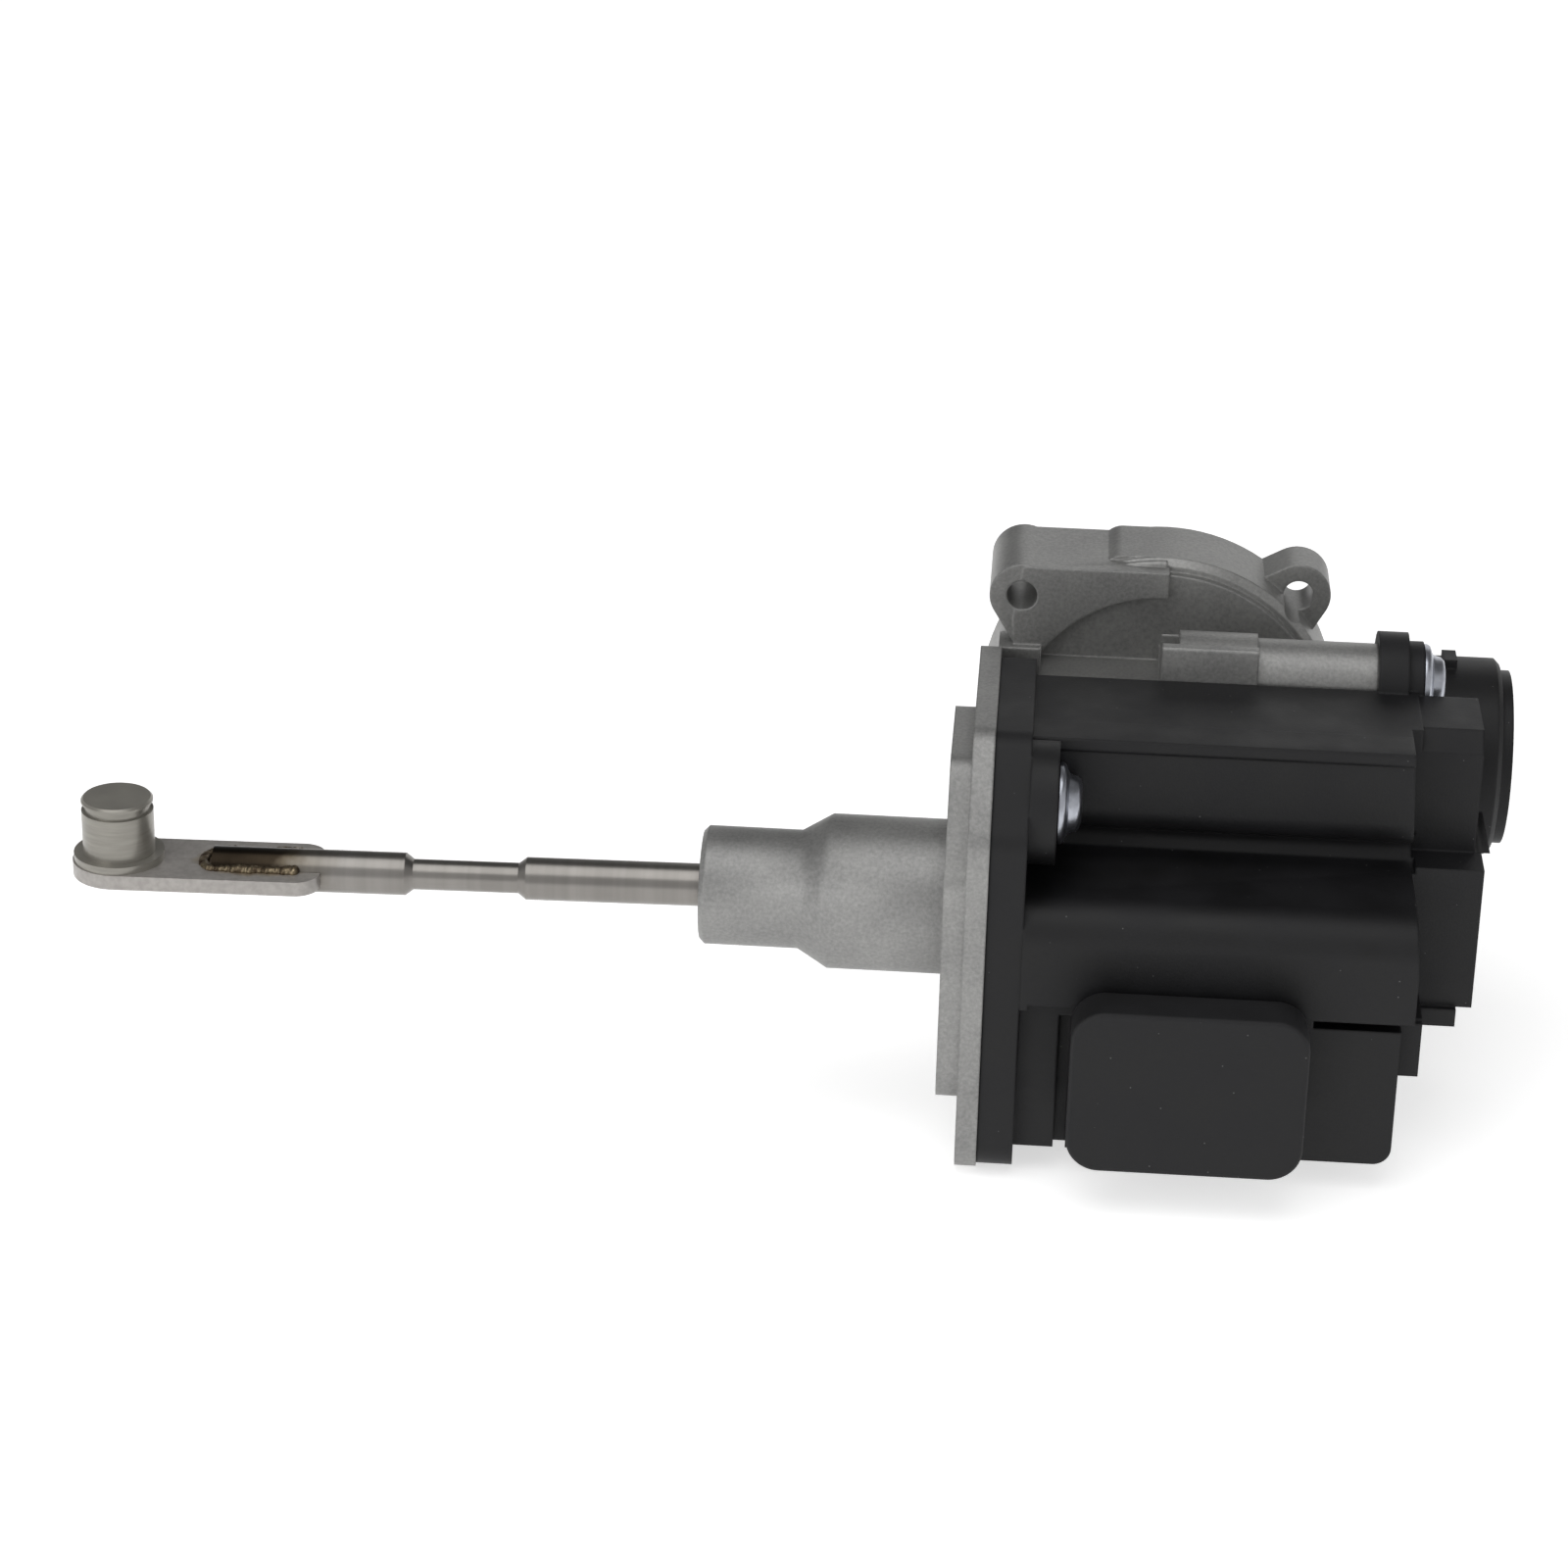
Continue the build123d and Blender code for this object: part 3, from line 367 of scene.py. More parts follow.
def merge_in(piece, tool, operation):
    """Join a tool to a piece or cut it out, and clear the tool away."""
    change = piece.modifiers.new("shape", "BOOLEAN")
    change.operation = operation
    change.solver = "EXACT"
    change.object = tool
    take(piece)
    bpy.ops.object.modifier_apply(modifier="shape")
    print(operation.lower(), tool.name, "- faces now:", len(piece.data.polygons))
    bpy.ops.object.select_all(action="DESELECT")
    tool.select_set(True)
    bpy.ops.object.delete()


def tidy_faces(piece):
    """Dissolve the leftover lines on flat faces, and shade round parts smooth."""
    take(piece)
    bpy.ops.object.mode_set(mode="EDIT")
    bpy.ops.mesh.select_all(action="SELECT")
    bpy.ops.mesh.dissolve_limited(angle_limit=FLAT_WITHIN)
    bpy.ops.object.mode_set(mode="OBJECT")
    bpy.ops.object.shade_smooth_by_angle(angle=SMOOTH_BELOW)
    print(piece.name, "faces:", len(piece.data.polygons))


# %% [markdown]
# The cover comes out of its mould with a flat wall under the hood, and a hollow below it that turns softly
# into the lower block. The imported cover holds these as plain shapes. On a copy of it the hood's old lip is
# cut off, and the new wall, lip and hollow are joined on as one outline, so that nothing shows a seam.

# %% Wall under the hood
OLD_LIP = ((5.0, 59.5), (-4, 1.2), (20, 27))
WALL_SPAN = (4.5, 58.3)
WALL = [(3.3, 26.04), (-3.04, 26.04, 0.3), (-3.04, 24.3, 0.3), (-2.3, 24.0), (-2.3, 12.2, 3.2),
        (3.4, 10.9, 1.4), (3.4, 8.9), (2.9, 7.7), (1.6, 6.96), (1.6, 6.5), (5.0, 6.5), (5.0, 10.3),
        (3.3, 10.3)]
cover = stock_from("cover", "cover_moulded")
merge_in(cover, slab("old_lip", *OLD_LIP), "DIFFERENCE")
merge_in(cover, drawn("wall", "x", WALL_SPAN, WALL), "UNION")

# %% [markdown]
# The far end leans, because a mould has to slide off what it has formed. It is cut along its slope in two
# steps: low down over the whole front, and higher up only as far back as the tower, which stands out beyond
# it. The tower itself loses two millimetres of its length.

# %% Lean the far end
LEAN_LOW = (58.8, -7.3)
LEAN_HIGH = (56.8, 26.2)
TOWER_FOOT = (57.88, 8.05)
CUT_TOP = (56.75, 27)
BEYOND = 62
TOWER_END = ((66.9, 70), (5, 21), (8.04, 26))
low_cut = [LEAN_LOW, (BEYOND, LEAN_LOW[1]), (BEYOND, CUT_TOP[1]), CUT_TOP]
high_cut = [TOWER_FOOT, (BEYOND, TOWER_FOOT[1]), (BEYOND, CUT_TOP[1]), CUT_TOP]
merge_in(cover, drawn("end_low", "y", (-20, 0), low_cut), "DIFFERENCE")
merge_in(cover, drawn("end_high", "y", (-0.5, 6), high_cut), "DIFFERENCE")
merge_in(cover, slab("tower_end", *TOWER_END), "DIFFERENCE")
tidy_faces(cover)

# %% [markdown]
# A moulded edge is never sharp, and the edge of this end draws a soft line of light. Its edges are picked as
# those with both ends on the leaning plane, and rounded with a bevel.

# %% Round the far end
END_ROUND = 0.9 * MM
NEAR_PLANE = 0.12
END_FRONT = -19
END_BACK = 5.9
END_FOOT = -7.25


def on_leaning_end(found):
    """True for points on the leaning end, in front of the tower."""
    for point in found:
        place = (point + ROD_ZERO) / MM
        risen = place.z - LEAN_LOW[1]
        x = LEAN_LOW[0] + (LEAN_HIGH[0] - LEAN_LOW[0]) * risen / (LEAN_HIGH[1] - LEAN_LOW[1])
        if abs(place.x - x) > NEAR_PLANE or not END_FRONT < place.y < END_BACK or place.z < END_FOOT:
            return False
    return True


bpy.ops.object.mode_set(mode="EDIT")
pick(cover, "edges", on_leaning_end)
bpy.ops.mesh.bevel(offset=END_ROUND, segments=3, affect="EDGES", clamp_overlap=True)
bpy.ops.object.mode_set(mode="OBJECT")
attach(cover, "casting")
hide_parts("cover")
print("cover faces:", len(cover.data.polygons))

# %% [markdown]
# The casting has a flat face behind the hood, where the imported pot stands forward. A round nose is drawn over
# the pot, and what has to stay is cut out of it first: the motor tube, the screw post, the slope between
# them, and the flange. What is left of the nose then cuts the copy of the casting back to its flat face.

# %% Cut the casting's rear face
FACE_Y = 38.6
POT = (23.0, 10.3)
MOTOR = (38.534, 8.761)
POST = (25.6, 25.0)
NOSE_RADIUS = 24.6
TUBE_RADIUS = 14.8
POST_RADIUS = 5.3
SLOPE = (4.61, 3.68)
FLANGE = [(20, 28.7), (23.4, 28.7), (46.6, 13.9), (49.5, 8.8), (49.5, -40), (20, -40)]
TUBE_FLAT = ((5.5, 22.5), (23.8, FACE_Y), (21.3, 30))


def ring_points(radius, turns, centre=POT):
    """Places on a circle at angles clockwise from the top."""
    return [(centre[0] + radius * math.sin(math.radians(turn)),
             centre[1] + radius * math.cos(math.radians(turn))) for turn in turns]


slope = [(POST[0] - SLOPE[0], POST[1] - SLOPE[1]), (MOTOR[0] - SLOPE[0], MOTOR[1] - SLOPE[1]),
         (MOTOR[0] + SLOPE[0], MOTOR[1] + SLOPE[1]), (POST[0] + SLOPE[0], POST[1] + SLOPE[1])]
housing = stock_from("housing", "housing_cast")
nose = drawn("nose", "y", (28.2, FACE_Y), ring_points(NOSE_RADIUS, range(0, 360, 4)))
for name, span, corners in (
        ("keep_tube", (0, 62), ring_points(TUBE_RADIUS, range(0, 360, 5), MOTOR)),
        ("keep_post", (0, 60), ring_points(POST_RADIUS, range(0, 360, 10), POST)),
        ("keep_slope", (24.9, 53), slope), ("keep_flange", (-9, 5.5), FLANGE)):
    merge_in(nose, drawn(name, "x", span, corners), "DIFFERENCE")
merge_in(housing, nose, "DIFFERENCE")
merge_in(housing, slab("tube_flat", *TUBE_FLAT), "DIFFERENCE")

# %% [markdown]
# A broad web stiffens the left ear against the pull of its bolt. It fills the corner between the ear and the
# round wall of the pot, so its inner side is drawn as an arc. A crest with rounded ends tops the pot.

# %% Web and crest
WEB_ARC = 21.2
web_corners = ([(2.4, 35.4), (23.4, 35.4), (23.4, 31.5)] + ring_points(WEB_ARC, range(-4, -58, -4))
               + [(1.6, 21.6), (1.2, 27.5)])
CREST = [(13.0, 32.0), (14.6, 36.2, 2.0), (27.0, 36.2, 2.0), (30.5, 32.0)]
merge_in(housing, drawn("web", "y", (36.9, 53.8), web_corners), "UNION")
merge_in(housing, drawn("crest", "y", (41.4, 53.79), CREST), "UNION")

# %% [markdown]
# The web has run across a lightening pocket at the back and across the bolt hole of the ear. Both are cut
# again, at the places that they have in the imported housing.

# %% Open the pocket and the bolt hole
POCKET_X = (7.3, 22.3)
POCKET_Z = (25.9, 30.9)
POCKET_ROUND = 1.8
LEFT_EAR = (2.4, 31.0)
BOLT_RADIUS = 2.2
pocket_corners = [(POCKET_X[0], POCKET_Z[0], POCKET_ROUND), (POCKET_X[1], POCKET_Z[0], POCKET_ROUND),
                  (POCKET_X[1], POCKET_Z[1], POCKET_ROUND), (POCKET_X[0], POCKET_Z[1], POCKET_ROUND)]
merge_in(housing, drawn("pocket", "y", (41.83, 54.5), pocket_corners), "DIFFERENCE")
bolt_ring = ring_points(BOLT_RADIUS, range(0, 360, 12), LEFT_EAR)
merge_in(housing, drawn("ear_hole", "y", (30, 54.5), bolt_ring), "DIFFERENCE")

# %% [markdown]
# A flat rib stands on the screw post. Round the right side of the pot run two beads, a strong one at the edge
# of the flat face and a fine one behind it. A bead is a small disc, spun about the middle of the pot, with
# half of it sunk in the wall.

# %% Rib and beads
RIB = [(19.6, 22.0), (19.6, 30.95, 0.4), (21.4, 30.95, 0.4), (26.0, 28.2), (30.0, 22.0)]
BEAD_TURN = math.radians(112)
merge_in(housing, drawn("rib", "x", (22.5, 36.0), RIB), "UNION")


def bead(radius, thick, y):
    """A half-sunk round bead about the pot, from its top round to the right side."""
    bpy.ops.object.select_all(action="DESELECT")
    bpy.ops.mesh.primitive_circle_add(vertices=16, radius=thick * MM, fill_type="NGON",
                                      location=at(POT[0], y, POT[1] + radius), rotation=(0, math.pi / 2, 0))
    piece = bpy.context.object
    bpy.ops.object.transform_apply(location=True, rotation=True)
    bpy.ops.object.mode_set(mode="EDIT")
    bpy.ops.mesh.select_mode(type="VERT")
    bpy.ops.mesh.select_all(action="SELECT")
    bpy.ops.mesh.spin(steps=40, angle=BEAD_TURN, center=tuple(at(POT[0], y, POT[1])), axis=(0, 1, 0))
    close_up()
    return piece


merge_in(housing, bead(22.9, 1.1, FACE_Y + 0.1), "UNION")
merge_in(housing, bead(25.3, 0.65, 40.0), "UNION")
tidy_faces(housing)
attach(housing, "casting")
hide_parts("housing")

# %% [markdown]
# The three cover screws have a round flange head with a soft dome. Half of a screw's section is drawn and
# spun about the screw's own line, which is how it was turned. The dome stays smooth that way, where a stepped
# solid would show its facets in the bright plating. Each pair of numbers is a radius and a height over the
# seat, up one side of the head and down into the recess.

# %% Spin a screw
SHANK_RADIUS = 2.45
TIP_RADIUS = 2.3
TIP_CHAMFER = 0.4
HEAD_SIDE = [(5.35, 0.0), (5.55, 0.15), (5.58, 0.55), (5.35, 0.95), (4.7, 1.2), (4.15, 1.45), (3.95, 1.9),
             (3.75, 2.6), (3.3, 3.05), (2.4, 3.25), (1.75, 3.27), (1.6, 3.1), (1.55, 1.6), (0.0, 1.3)]


def spun_screw(name, seat_x, y, z, length):
    """Draw half a screw of a length under its seat, and spin it about its line."""
    side = [(0.0, -length), (TIP_RADIUS, -length), (SHANK_RADIUS, -length + TIP_CHAMFER),
            (SHANK_RADIUS, 0.0)] + HEAD_SIDE
    piece = walked(name, [at(seat_x + height, y, z + radius) for radius, height in side])
    bpy.ops.mesh.spin(steps=64, angle=2 * math.pi, center=tuple(at(seat_x, y, z)), axis=(1, 0, 0))
    bpy.ops.mesh.select_all(action="SELECT")
    bpy.ops.mesh.remove_doubles(threshold=SAME_PLACE)
    close_up()
    return piece


# %% [markdown]
# The recess takes a six-lobed key. Its lobes are six small posts on a ring about the screw's line, cut out of
# the head one after the other.

# %% Cut the recess
LOBE_STEP = 60
LOBE_RING = 1.6
LOBE_RADIUS = 0.55
RECESS_FLOOR = 1.7
RECESS_TOP = 3.6


def cut_recess(screw, seat_x, y, z):
    """Cut the lobes of the recess into the head of a screw."""
    for lobe_turn in range(0, 360, LOBE_STEP):
        centre = ring_points(LOBE_RING, [lobe_turn], (0, 0))[0]
        ring = [(y + a, z + b) for a, b in ring_points(LOBE_RADIUS, range(0, 360, 30), centre)]
        lobe = drawn("lobe", "x", (seat_x + RECESS_FLOOR, seat_x + RECESS_TOP), ring)
        merge_in(screw, lobe, "DIFFERENCE")


# %% [markdown]
# Each packed screw tells where its turned one sits: the ends of its box give the length, and the middle of
# the box gives the line.

# %% Turned screws in their places
HEAD_HEIGHT = 3.3
DOME_SMOOTH = math.radians(40)
screws = []
for node_name in ("cover_screw_1", "cover_screw_2", "lug_screw"):
    low, high = (Vector(corner) + ROD_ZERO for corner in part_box(node_name))
    seat_x = (high / MM).x - HEAD_HEIGHT
    line_y = ((low + high) / MM).y / 2
    line_z = ((low + high) / MM).z / 2
    length = ((high - low) / MM).x - HEAD_HEIGHT
    screw = spun_screw(node_name + "_turned", seat_x, line_y, line_z, length)
    cut_recess(screw, seat_x, line_y, line_z)
    take(screw)
    bpy.ops.object.shade_smooth_by_angle(angle=DOME_SMOOTH)
    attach(screw, "casting")
    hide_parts(node_name)
    screws.append(screw)
    print(screw.name, "faces:", len(screw.data.polygons))

# %% [markdown]
# A few helpers serve every finish. The first turns an sRGB hex value, as read off a colour picker, into the
# linear numbers that Blender works with. The second adds one node with its settings and its inputs: a socket
# given as an input is linked, anything else is typed in. The others start a material, turn a real size into
# a texture scale, colour a ramp and draw one link.

# %% Colour and node helpers
def srgb(code):
    """An sRGB hex colour as linear red, green, blue and alpha."""
    parts = [int(code[i:i + 2], 16) / 255 for i in (1, 3, 5)]
    linear = [c / 12.92 if c <= 0.04045 else ((c + 0.055) / 1.055) ** 2.4 for c in parts]
    return (*linear, 1.0)


def add_node(material, kind, inputs=None, **settings):
    """Add a node, set its properties, and link or type in its inputs."""
    node = material.node_tree.nodes.new(kind)
    for name, value in settings.items():
        setattr(node, name, value)
    for socket, value in (inputs or {}).items():
        if isinstance(value, bpy.types.NodeSocket):
            material.node_tree.links.new(value, node.inputs[socket])
        else:
            node.inputs[socket].default_value = value
    return node


def start_material(name, **sockets):
    """A fresh material with a Principled shader whose plain sockets are typed in."""
    material = bpy.data.materials.new(name)
    material.use_nodes = True
    shader = material.node_tree.nodes["Principled BSDF"]
    for socket, value in sockets.items():
        shader.inputs[socket.replace("_", " ")].default_value = value
    return material, shader


def per_mm(size):
    """The texture scale whose pattern repeats about every so many millimetres."""
    return 1.0 / (size * MM)


def two_tones(node, dark, light, low=0.35, high=0.65):
    """Set a colour ramp to run between two sRGB colours."""
    ramp = node.color_ramp
    ramp.elements[0].position = low
    ramp.elements[0].color = srgb(dark)
    ramp.elements[1].position = high
    ramp.elements[1].color = srgb(light)


def link(material, output, shader, socket):
    """Link an output to a socket of a shader."""
    material.node_tree.links.new(output, shader.inputs[socket])


# %% [markdown]
# The housing is die-cast aluminium, shot-blasted after casting. Blasting leaves a grey, even, slightly
# sparkling skin of craters about a third of a millimetre across, drawn here a little coarser so that they
# show. The tone drifts over a centimetre or so, where the skin cooled at different speeds. The face that sits
# on the bracket is milled: brighter, smoother, with the cutter's rings. A mask by the distance from that face
# picks between the two. A Bevel node bends the light over every edge, because blasting rounds them all.

# %% Cast aluminium
BLAST_GRAIN = 0.5
CAST_DRIFT = 11
CUTTER_RINGS = 3.2
CAST_EDGE = 0.45 * MM
MILLED_FROM = -0.06 * MM
MILLED_TO = -0.02 * MM


def cast_aluminium():
    """Blasted skin, and a milled face where the housing sits on its bracket."""
    material, shader = start_material("cast aluminium, shot-blasted and milled", Metallic=0.75)
    place = add_node(material, "ShaderNodeTexCoord").outputs["Object"]
    grain = add_node(material, "ShaderNodeTexNoise", {"Vector": place, "Scale": per_mm(BLAST_GRAIN),
                                                      "Detail": 3.0, "Roughness": 0.6})
    drift = add_node(material, "ShaderNodeTexNoise", {"Vector": place, "Scale": per_mm(CAST_DRIFT),
                                                      "Detail": 3.0})
    speck = add_node(material, "ShaderNodeValToRGB", {"Fac": grain.outputs["Fac"]})
    two_tones(speck, "#7d7d7c", "#a6a5a3", 0.32, 0.7)
    shade = add_node(material, "ShaderNodeValToRGB", {"Fac": drift.outputs["Fac"]})
    two_tones(shade, "#868685", "#9b9b99", 0.35, 0.65)
    mixed = add_node(material, "ShaderNodeMix", {"Factor": 0.55, "A": speck.outputs["Color"],
                                                 "B": shade.outputs["Color"]}, data_type="RGBA")
    split = add_node(material, "ShaderNodeSeparateXYZ", {"Vector": place})
    milled = add_node(material, "ShaderNodeMapRange", {"Value": split.outputs["Y"],
                                                       "From Min": MILLED_FROM, "From Max": MILLED_TO})
    rings = add_node(material, "ShaderNodeTexWave", {"Vector": place, "Scale": per_mm(CUTTER_RINGS),
                                                     "Distortion": 0.4, "Detail": 2.0},
                     wave_type="RINGS", rings_direction="Y")
    cut = add_node(material, "ShaderNodeValToRGB", {"Fac": rings.outputs["Fac"]})
    two_tones(cut, "#adadad", "#b3b3b2", 0.2, 0.8)
    colour = add_node(material, "ShaderNodeMix", {"Factor": milled.outputs["Result"], "A": mixed.outputs[2],
                                                  "B": cut.outputs["Color"]}, data_type="RGBA")
    link(material, colour.outputs[2], shader, "Base Color")
    gloss = add_node(material, "ShaderNodeMapRange", {"Value": milled.outputs["Result"], "To Min": 0.47,
                                                      "To Max": 0.3})
    link(material, gloss.outputs["Result"], shader, "Roughness")
    height = add_node(material, "ShaderNodeMix", {"Factor": milled.outputs["Result"],
                                                  "A": grain.outputs["Fac"], "B": rings.outputs["Fac"]},
                      data_type="FLOAT")
    edge = add_node(material, "ShaderNodeBevel", {"Radius": CAST_EDGE}, samples=4)
    bump = add_node(material, "ShaderNodeBump", {"Height": height.outputs[0], "Strength": 0.32,
                                                 "Distance": 0.07 * MM, "Normal": edge.outputs["Normal"]})
    link(material, bump.outputs["Normal"], shader, "Normal")
    return material


finishes = {"cast_aluminium": cast_aluminium()}
print("finish:", finishes["cast_aluminium"].name)

# %% [markdown]
# The cover is injection-moulded nylon with glass fibre, black right through. Its mould was spark-eroded,
# which leaves a fine matt grain of a third of a millimetre, and a few fibre ends and dust grains show as pale
# specks. The gloss drifts a little over the surface, where the flow of plastic met the mould. The dust cap is
# polyethylene from a coarser mould, so the same function makes it, with other colours and more roughness.
# The edges catch the light over half a millimetre, again with a Bevel node.

# %% Black plastics
GLOSS_DRIFT = 9
SPECK_STEP = 2.6
SPECK_SIZE = 0.03
SPECK_FADE = 0.02
MOULD_EDGE = 0.5 * MM


def black_plastic(name, dark, light, grain_mm, rough):
    """A black moulded plastic with a spark-eroded grain, pale specks and a drifting gloss."""
    material, shader = start_material(name, IOR=1.5)
    shader.inputs["Specular IOR Level"].default_value = 0.32
    place = add_node(material, "ShaderNodeTexCoord").outputs["Object"]
    grain = add_node(material, "ShaderNodeTexNoise", {"Vector": place, "Scale": per_mm(grain_mm),
                                                      "Detail": 2.0})
    drift = add_node(material, "ShaderNodeTexNoise", {"Vector": place, "Scale": per_mm(GLOSS_DRIFT),
                                                      "Detail": 3.0})
    tone = add_node(material, "ShaderNodeValToRGB", {"Fac": drift.outputs["Fac"]})
    two_tones(tone, dark, light)
    dots = add_node(material, "ShaderNodeTexVoronoi", {"Vector": place, "Scale": per_mm(SPECK_STEP)})
    dust = add_node(material, "ShaderNodeMapRange", {"Value": dots.outputs["Distance"],
                                                     "From Min": SPECK_SIZE,
                                                     "From Max": SPECK_SIZE + SPECK_FADE, "To Min": 0.3,
                                                     "To Max": 0.0})
    mixed = add_node(material, "ShaderNodeMix", {"Factor": dust.outputs["Result"], "A": tone.outputs["Color"],
                                                 "B": srgb("#8b8b8b")}, data_type="RGBA")
    link(material, mixed.outputs[2], shader, "Base Color")
    sheen = add_node(material, "ShaderNodeMapRange", {"Value": drift.outputs["Fac"], "From Min": 0.3,
                                                      "From Max": 0.7, "To Min": rough - 0.05,
                                                      "To Max": rough + 0.07})
    link(material, sheen.outputs["Result"], shader, "Roughness")
    edge = add_node(material, "ShaderNodeBevel", {"Radius": MOULD_EDGE}, samples=4)
    bump = add_node(material, "ShaderNodeBump", {"Height": grain.outputs["Fac"], "Strength": 0.35,
                                                 "Distance": 0.05 * MM, "Normal": edge.outputs["Normal"]})
    link(material, bump.outputs["Normal"], shader, "Normal")
    return material


finishes["cover_moulding"] = black_plastic("black glass-filled nylon, spark-eroded", "#131314", "#18181a",
                                           0.35, 0.5)
finishes["cap_moulding"] = black_plastic("black polyethylene, matt moulded", "#19191a", "#1e1e20", 0.5, 0.6)
print("finishes so far:", len(finishes))

# %% [markdown]
# The push rod is turned from stainless bar. The tool leaves rings too fine to see, drawn here as faint bands
# across the rod, a millimetre and a half apart. The weld at the link plate has tinted the rod brown and straw
# over its last centimetre and a half. The tint is a colour ramp along the rod, by the distance from the end
# of the weld, and a slow noise roughens its edge.

# %% Turned and tinted steel
TOOL_RINGS = 1.6
RING_SMEAR = 40
ROD_TINT_CLOUD = 2.5
ROD_TINT_SHIFT = 5 * MM
ROD_TINT_BEFORE = 6 * MM
ROD_TINT_AFTER = 9 * MM


def turned_steel():
    """Turned bar with a heat tint that fades with the distance from the weld."""
    material, shader = start_material("stainless steel, turned", Metallic=1.0, Roughness=0.3)
    place = add_node(material, "ShaderNodeTexCoord").outputs["Object"]
    ring_scale = (per_mm(TOOL_RINGS), per_mm(RING_SMEAR), per_mm(RING_SMEAR))
    squeeze = add_node(material, "ShaderNodeMapping", {"Vector": place, "Scale": ring_scale})
    rings = add_node(material, "ShaderNodeTexNoise", {"Vector": squeeze.outputs["Vector"], "Scale": 1.0,
                                                      "Detail": 2.0})
    bands = add_node(material, "ShaderNodeValToRGB", {"Fac": rings.outputs["Fac"]})
    two_tones(bands, "#84817d", "#8c8985")
    split = add_node(material, "ShaderNodeSeparateXYZ", {"Vector": place})
    cloud = add_node(material, "ShaderNodeTexNoise", {"Vector": place, "Scale": per_mm(ROD_TINT_CLOUD),
                                                      "Detail": 2.0})
    shift = add_node(material, "ShaderNodeMath", {0: cloud.outputs["Fac"], 1: ROD_TINT_SHIFT},
                     operation="MULTIPLY")
    blurred = add_node(material, "ShaderNodeMath", {0: split.outputs["X"], 1: shift.outputs["Value"]},
                       operation="ADD")
    along = add_node(material, "ShaderNodeMapRange", {"Value": blurred.outputs["Value"],
                                                      "From Min": weld_end.x - ROD_TINT_BEFORE,
                                                      "From Max": weld_end.x + ROD_TINT_AFTER})
    tint = add_node(material, "ShaderNodeValToRGB", {"Fac": along.outputs["Result"]})
    two_tones(tint, "#4e453b", "#ffffff", 0.0, 1.0)
    for position, code in ((0.35, "#655b4e"), (0.5, "#a29888"), (0.66, "#dcd8d0")):
        stop = tint.color_ramp.elements.new(position)
        stop.color = srgb(code)
    tinted = add_node(material, "ShaderNodeMix", {"Factor": 1.0, "A": bands.outputs["Color"],
                                                  "B": tint.outputs["Color"]}, data_type="RGBA",
                      blend_type="MULTIPLY")
    link(material, tinted.outputs[2], shader, "Base Color")
    bump = add_node(material, "ShaderNodeBump", {"Height": rings.outputs["Fac"], "Strength": 0.06,
                                                 "Distance": 0.02 * MM})
    link(material, bump.outputs["Normal"], shader, "Normal")
    return material


finishes["turned_steel"] = turned_steel()
print("finish:", finishes["turned_steel"].name)

# %% [markdown]
# The link plate is stamped from stainless sheet and tumbled, which leaves a satin skin. Round the slot the
# weld has burnt it: dark brown at the seam, then straw, then clean metal after a few millimetres. The
# distance from the middle of the weld drives that colour, stretched along the rod, and a noise breaks up its
# edge.

# %% Stamped plate with a heat-tinted slot
PLATE_GRAIN = 0.9
PLATE_STRETCH = (0.72, 1.35, 0.0)
PLATE_CLOUD = 2.2
PLATE_TINT_SHIFT = 2.4 * MM
PLATE_TINT_FROM = 0.2 * MM
PLATE_TINT_TO = 3.6 * MM


